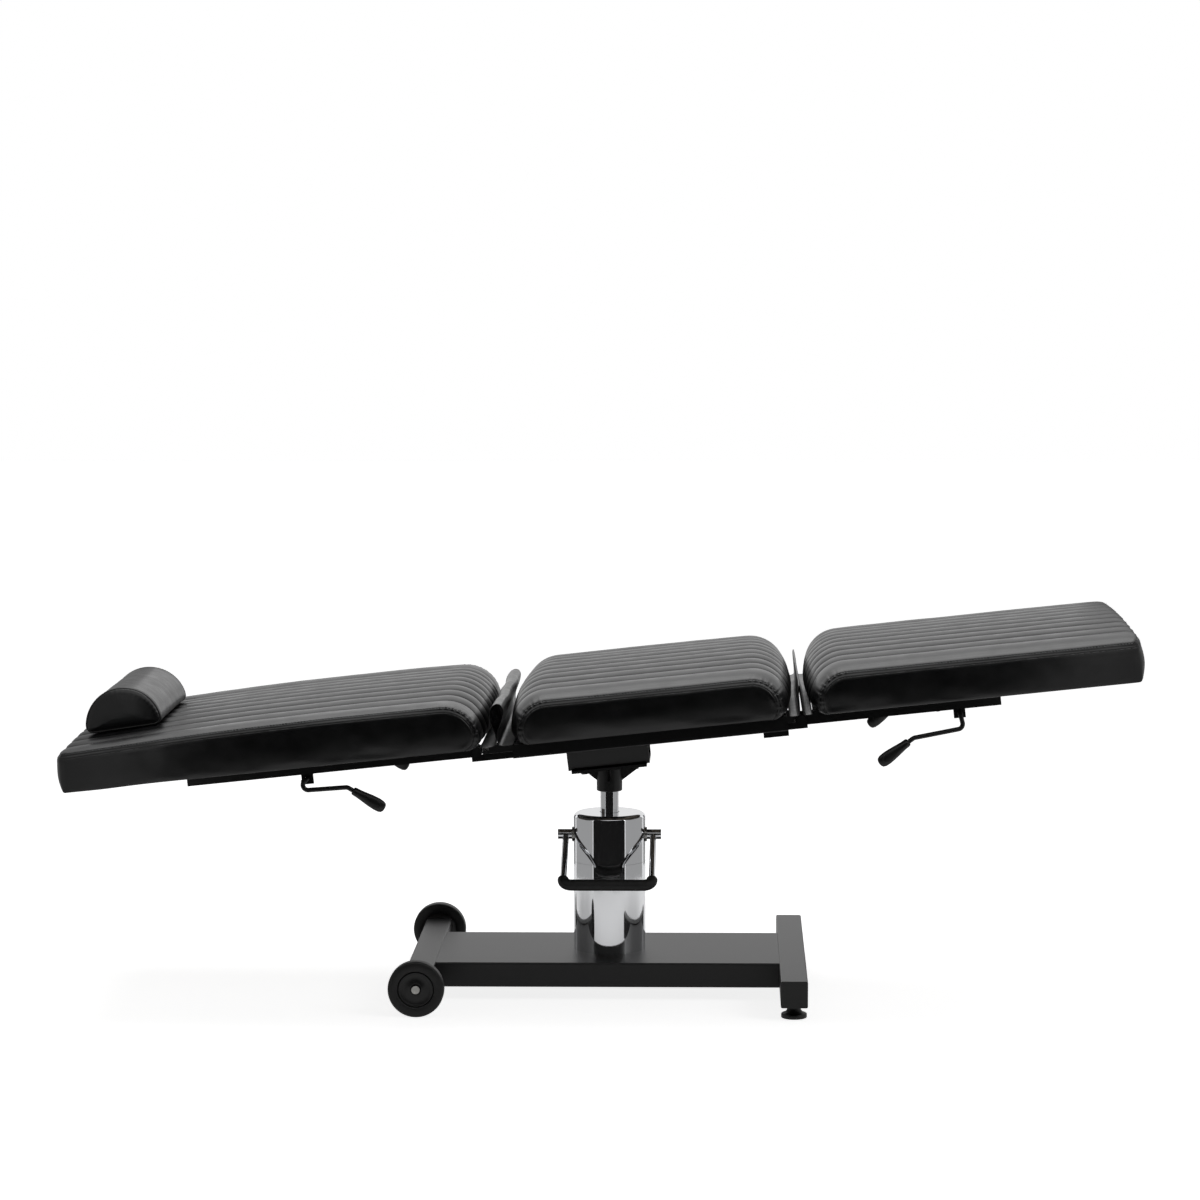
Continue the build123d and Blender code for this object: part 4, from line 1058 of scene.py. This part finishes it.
def gripPair(form, s):
    bm = bmesh.new()
    start = Vector((form["start"][0], -s["spread"], form["start"][1]))
    end = Vector((form["end"][0], -s["spread"], form["end"][1]))
    along = (end - start).normalized()
    across = along.cross(Vector((0, 1, 0)))
    points = [start.lerp(end, t) for t, _, _ in s["sections"]]
    sweepTube(bm, points, [(w, h) for _, w, h in s["sections"]], sides=24, up=(0, 1, 0))
    middle = start.lerp(end, s["rimCentre"]) - Vector((0, s["rimLift"], 0))
    turns = [2 * math.pi * i / s["rimSteps"] for i in range(s["rimSteps"])]
    rim = [middle + along * s["rimLength"] * math.cos(t) + across * s["rimHeight"] * math.sin(t)
           for t in turns]
    sweepTube(bm, rim, [(s["rimRound"], s["rimRound"])] * len(rim), sides=8, closed=True,
              up=(0, 1, 0))
    bmesh.ops.recalc_face_normals(bm, faces=bm.faces[:])
    bmesh.ops.mirror(bm, geom=everyElement(bm), axis="Y", merge_dist=-1)
    return bm


for name, form in gripForms.items():
    grips = finishMesh(gripPair(form, gripShape), name, bedPlace)
    dress(grips, moulding, form["body"], form["node"])
    print(name, "faces", len(grips.data.polygons), flush=True)


# Wheels: solid tyre on a dished hub, turned about the axle
wheelForm = {"axle": (-321.5, 48.0), "inner": 258.0, "steps": 64,
             "tyre": ((31.0, 0.6), (31.6, 0.0), (44.0, 0.0), (46.4, 0.7), (47.7, 2.2),
                      (48.0, 4.4), (48.0, 18.6), (47.7, 20.6), (46.6, 22.2), (44.6, 23.0),
                      (32.8, 23.0), (31.7, 22.6), (31.0, 21.6), (31.0, 0.6)),
             "hub": ((6.1, 0.4), (30.9, 0.4), (30.9, 19.0), (29.6, 20.4), (27.6, 20.6),
                     (26.4, 19.4), (24.8, 18.8), (12.6, 18.8), (11.2, 20.0), (9.6, 20.2),
                     (8.6, 19.4), (6.1, 19.2), (6.1, 0.4)),
             "cap": ((0.0, 24.2), (3.0, 23.9), (5.6, 22.9), (7.2, 21.3), (7.6, 20.3),
                     (6.0, 20.1))}


def turnedPart(name, profile, side, material, body, replaced=None):
    bm = bmesh.new()
    x, z = wheelForm["axle"]
    axle = Vector((x, 0, z))
    points = [Vector((x, side * (wheelForm["inner"] + y), z + r)) for r, y in profile]
    spinProfile(bm, points, wheelForm["steps"], (0, 1, 0), axle)
    dress(finishMesh(bm, name, columnPlace), material, body, replaced)


for label, side in (("near", -1), ("far", 1)):
    turnedPart(label + "Tyre", wheelForm["tyre"], side, tyreRubber, label + "_wheel",
               label + "_wheel_tyre")
    turnedPart(label + "Hub", wheelForm["hub"], side, moulding, label + "_wheel",
               label + "_wheel_hub")
    turnedPart(label + "AxleCap", wheelForm["cap"], side, satinBlack, "base")
print("wheels turned", flush=True)


# Levelling feet: moulded pads with a waisted neck on a steel stem
footForm = {"x": 321.5, "y": 266.0, "steps": 48,
            "profile": ((0.0, 0.0), (20.6, 0.0), (21.7, 0.5), (22.0, 1.4), (22.0, 6.0),
                        (21.6, 7.2), (20.4, 8.0), (17.6, 8.8), (14.4, 10.6), (12.4, 13.2),
                        (11.4, 16.4), (11.2, 19.4), (11.6, 21.6), (11.4, 22.5), (5.2, 22.7),
                        (5.2, 50.0), (0.0, 50.0))}
for label, side in (("near", -1), ("far", 1)):
    footMesh = bmesh.new()
    x, y = footForm["x"], side * footForm["y"]
    points = [Vector((x + r, y, z)) for r, z in footForm["profile"]]
    spinProfile(footMesh, points, footForm["steps"], (0, 0, 1), Vector((x, y, 0)))
    foot = finishMesh(footMesh, label + "LevellingFoot", columnPlace)
    dress(foot, moulding, label + "_foot", label + "_levelling_foot")
print("feet turned", flush=True)


# Camera, stage and light
scene = bpy.context.scene
cameraSettings = {"place": (0.2105, -6.511, 1.3608), "pitch": 5.92, "yaw": 0.957,
                  "lens": 111.98, "shift": -0.0516}
cameraData = bpy.data.cameras.new("camera")
cameraData.lens = cameraSettings["lens"]
cameraData.sensor_width = 36
cameraData.shift_x = cameraSettings["shift"]
camera = bpy.data.objects.new("camera", cameraData)
scene.collection.objects.link(camera)
camera.location = cameraSettings["place"]
camera.rotation_euler = (math.radians(90 - cameraSettings["pitch"]), 0,
                         math.radians(cameraSettings["yaw"]))
scene.camera = camera

studioSettings = {"ambient": 0.14, "cameraGlow": 0.84, "glossGlow": 0.34, "floorHalf": 14.0}
world = bpy.data.worlds.new("white studio")
scene.world = world
world.use_nodes = True
tree = world.node_tree
background = tree.nodes["Background"]
background.inputs["Color"].default_value = (1, 1, 1, 1)
paths = addNode(tree, "LightPath")
seen = mathNode(tree, "MAXIMUM", paths.outputs["Is Camera Ray"],
                paths.outputs["Is Glossy Ray"])
seenAll = mathNode(tree, "MAXIMUM", seen, paths.outputs["Is Transmission Ray"])
strength = addNode(tree, "MapRange", {"Value": seenAll}, From_Min=0.0,
                   From_Max=1.0, To_Min=studioSettings["ambient"], To_Max=1.0)
tree.links.new(strength.outputs["Result"], background.inputs["Strength"])

floorBm = bmesh.new()
bmesh.ops.create_grid(floorBm, x_segments=1, y_segments=1, size=studioSettings["floorHalf"])
floor = finishMesh(floorBm, "studioFloor", Matrix.Identity(4), shade=False)
# Seamless paper: it glows for the camera and for gloss, and still takes the object's shadow
floorMaterial, tree, shader = newMaterial(
    "white seamless paper", Base_Color=linear("#f4f4f4"), Roughness=0.9)
shader.inputs["Emission Color"].default_value = (1, 1, 1, 1)
paths = addNode(tree, "LightPath")
forCamera = mathNode(tree, "MULTIPLY", paths.outputs["Is Camera Ray"],
                     studioSettings["cameraGlow"])
forGloss = mathNode(tree, "MULTIPLY", paths.outputs["Is Glossy Ray"],
                    studioSettings["glossGlow"])
glow = mathNode(tree, "ADD", forCamera, forGloss)
tree.links.new(glow, shader.inputs["Emission Strength"])
floor.data.materials.append(floorMaterial)


def cardMaterial(name, colour, glow):  # flat, with an even glow of its own
    material, tree, shader = newMaterial(name, Base_Color=linear(colour), Roughness=1.0)
    shader.inputs["Emission Color"].default_value = (1, 1, 1, 1)
    shader.inputs["Emission Strength"].default_value = glow
    return material


# Velvet: the dark bands that the chrome mirrors
velvet = cardMaterial("black velvet flag", "#050505", 0.0)
# Side card: the middle greys at both edges of the chrome
sideGrey = cardMaterial("grey side card", "#000000", 0.34)
# Far strip: the broad pale sheen on the tops of the pads
farGrey = cardMaterial("grey far strip", "#000000", 0.82)
# Upright curved cards round the column, angles in degrees from straight in front
cardForms = (
    {"name": "frontFlag", "radius": 1.07, "start": -50.0, "stop": 50.0, "low": 0.002,
     "high": 0.9, "surface": velvet, "paired": False, "inDiffuse": True},
    {"name": "backFlag", "radius": 1.25, "start": 141.0, "stop": 151.0, "low": 0.002,
     "high": 0.55, "surface": velvet, "paired": True, "inDiffuse": False},
    {"name": "sideCard", "radius": 1.12, "start": 53.0, "stop": 128.0, "low": 0.002,
     "high": 0.9, "surface": sideGrey, "paired": True, "inDiffuse": False},
    {"name": "farStrip", "radius": 3.4, "start": 140.0, "stop": 220.0, "low": 0.6,
     "high": 2.6, "surface": farGrey, "paired": False, "inDiffuse": False})
cardCells = 12


def studioCard(name, form, side=1):
    bm = bmesh.new()
    turns = [math.radians(side * mix(form["start"], form["stop"], i / cardCells) - 90)
             for i in range(cardCells + 1)]
    foot = [bm.verts.new((columnX * mm + form["radius"] * math.cos(t),
                          form["radius"] * math.sin(t), form["low"])) for t in turns]
    edges = [bm.edges.new(pair) for pair in zip(foot, foot[1:])]
    made = bmesh.ops.extrude_edge_only(bm, edges=edges)["geom"]
    raised = [g for g in made if isinstance(g, bmesh.types.BMVert)]
    bmesh.ops.translate(bm, verts=raised, vec=(0, 0, form["high"] - form["low"]))
    card = finishMesh(bm, name, Matrix.Identity(4), shade=False)
    card.data.materials.append(form["surface"])
    card.visible_camera = False
    card.visible_shadow = False
    card.visible_diffuse = form["inDiffuse"]


for form in cardForms:
    if form["paired"]:
        studioCard(form["name"] + "Left", form, -1)
        studioCard(form["name"] + "Right", form)
    else:
        studioCard(form["name"], form)
print("studio set", len(cardForms), "kinds of card", flush=True)


# Soft boxes that look at the middle of the bed; places and sizes in metres, power in watts
lampTarget = Vector((0.0, 0.0, 0.5))
lampForms = {"overheadSoftbox": {"place": (0.1, 0.6, 3.0), "size": (3.2, 1.8), "power": 34},
             "sideSoftbox": {"place": (2.6, -1.6, 2.2), "size": (1.2, 1.8), "power": 12}}
for name, form in lampForms.items():
    lampData = bpy.data.lights.new(name, "AREA")
    lampData.shape = "RECTANGLE"
    lampData.size, lampData.size_y = form["size"]
    lampData.energy = form["power"]
    lamp = bpy.data.objects.new(name, lampData)
    scene.collection.objects.link(lamp)
    lamp.location = form["place"]
    direction = lampTarget - lamp.location
    lamp.rotation_euler = direction.to_track_quat("-Z", "Y").to_euler()
print("lamps set", len(lampForms), flush=True)

scene.view_settings.view_transform = "Standard"
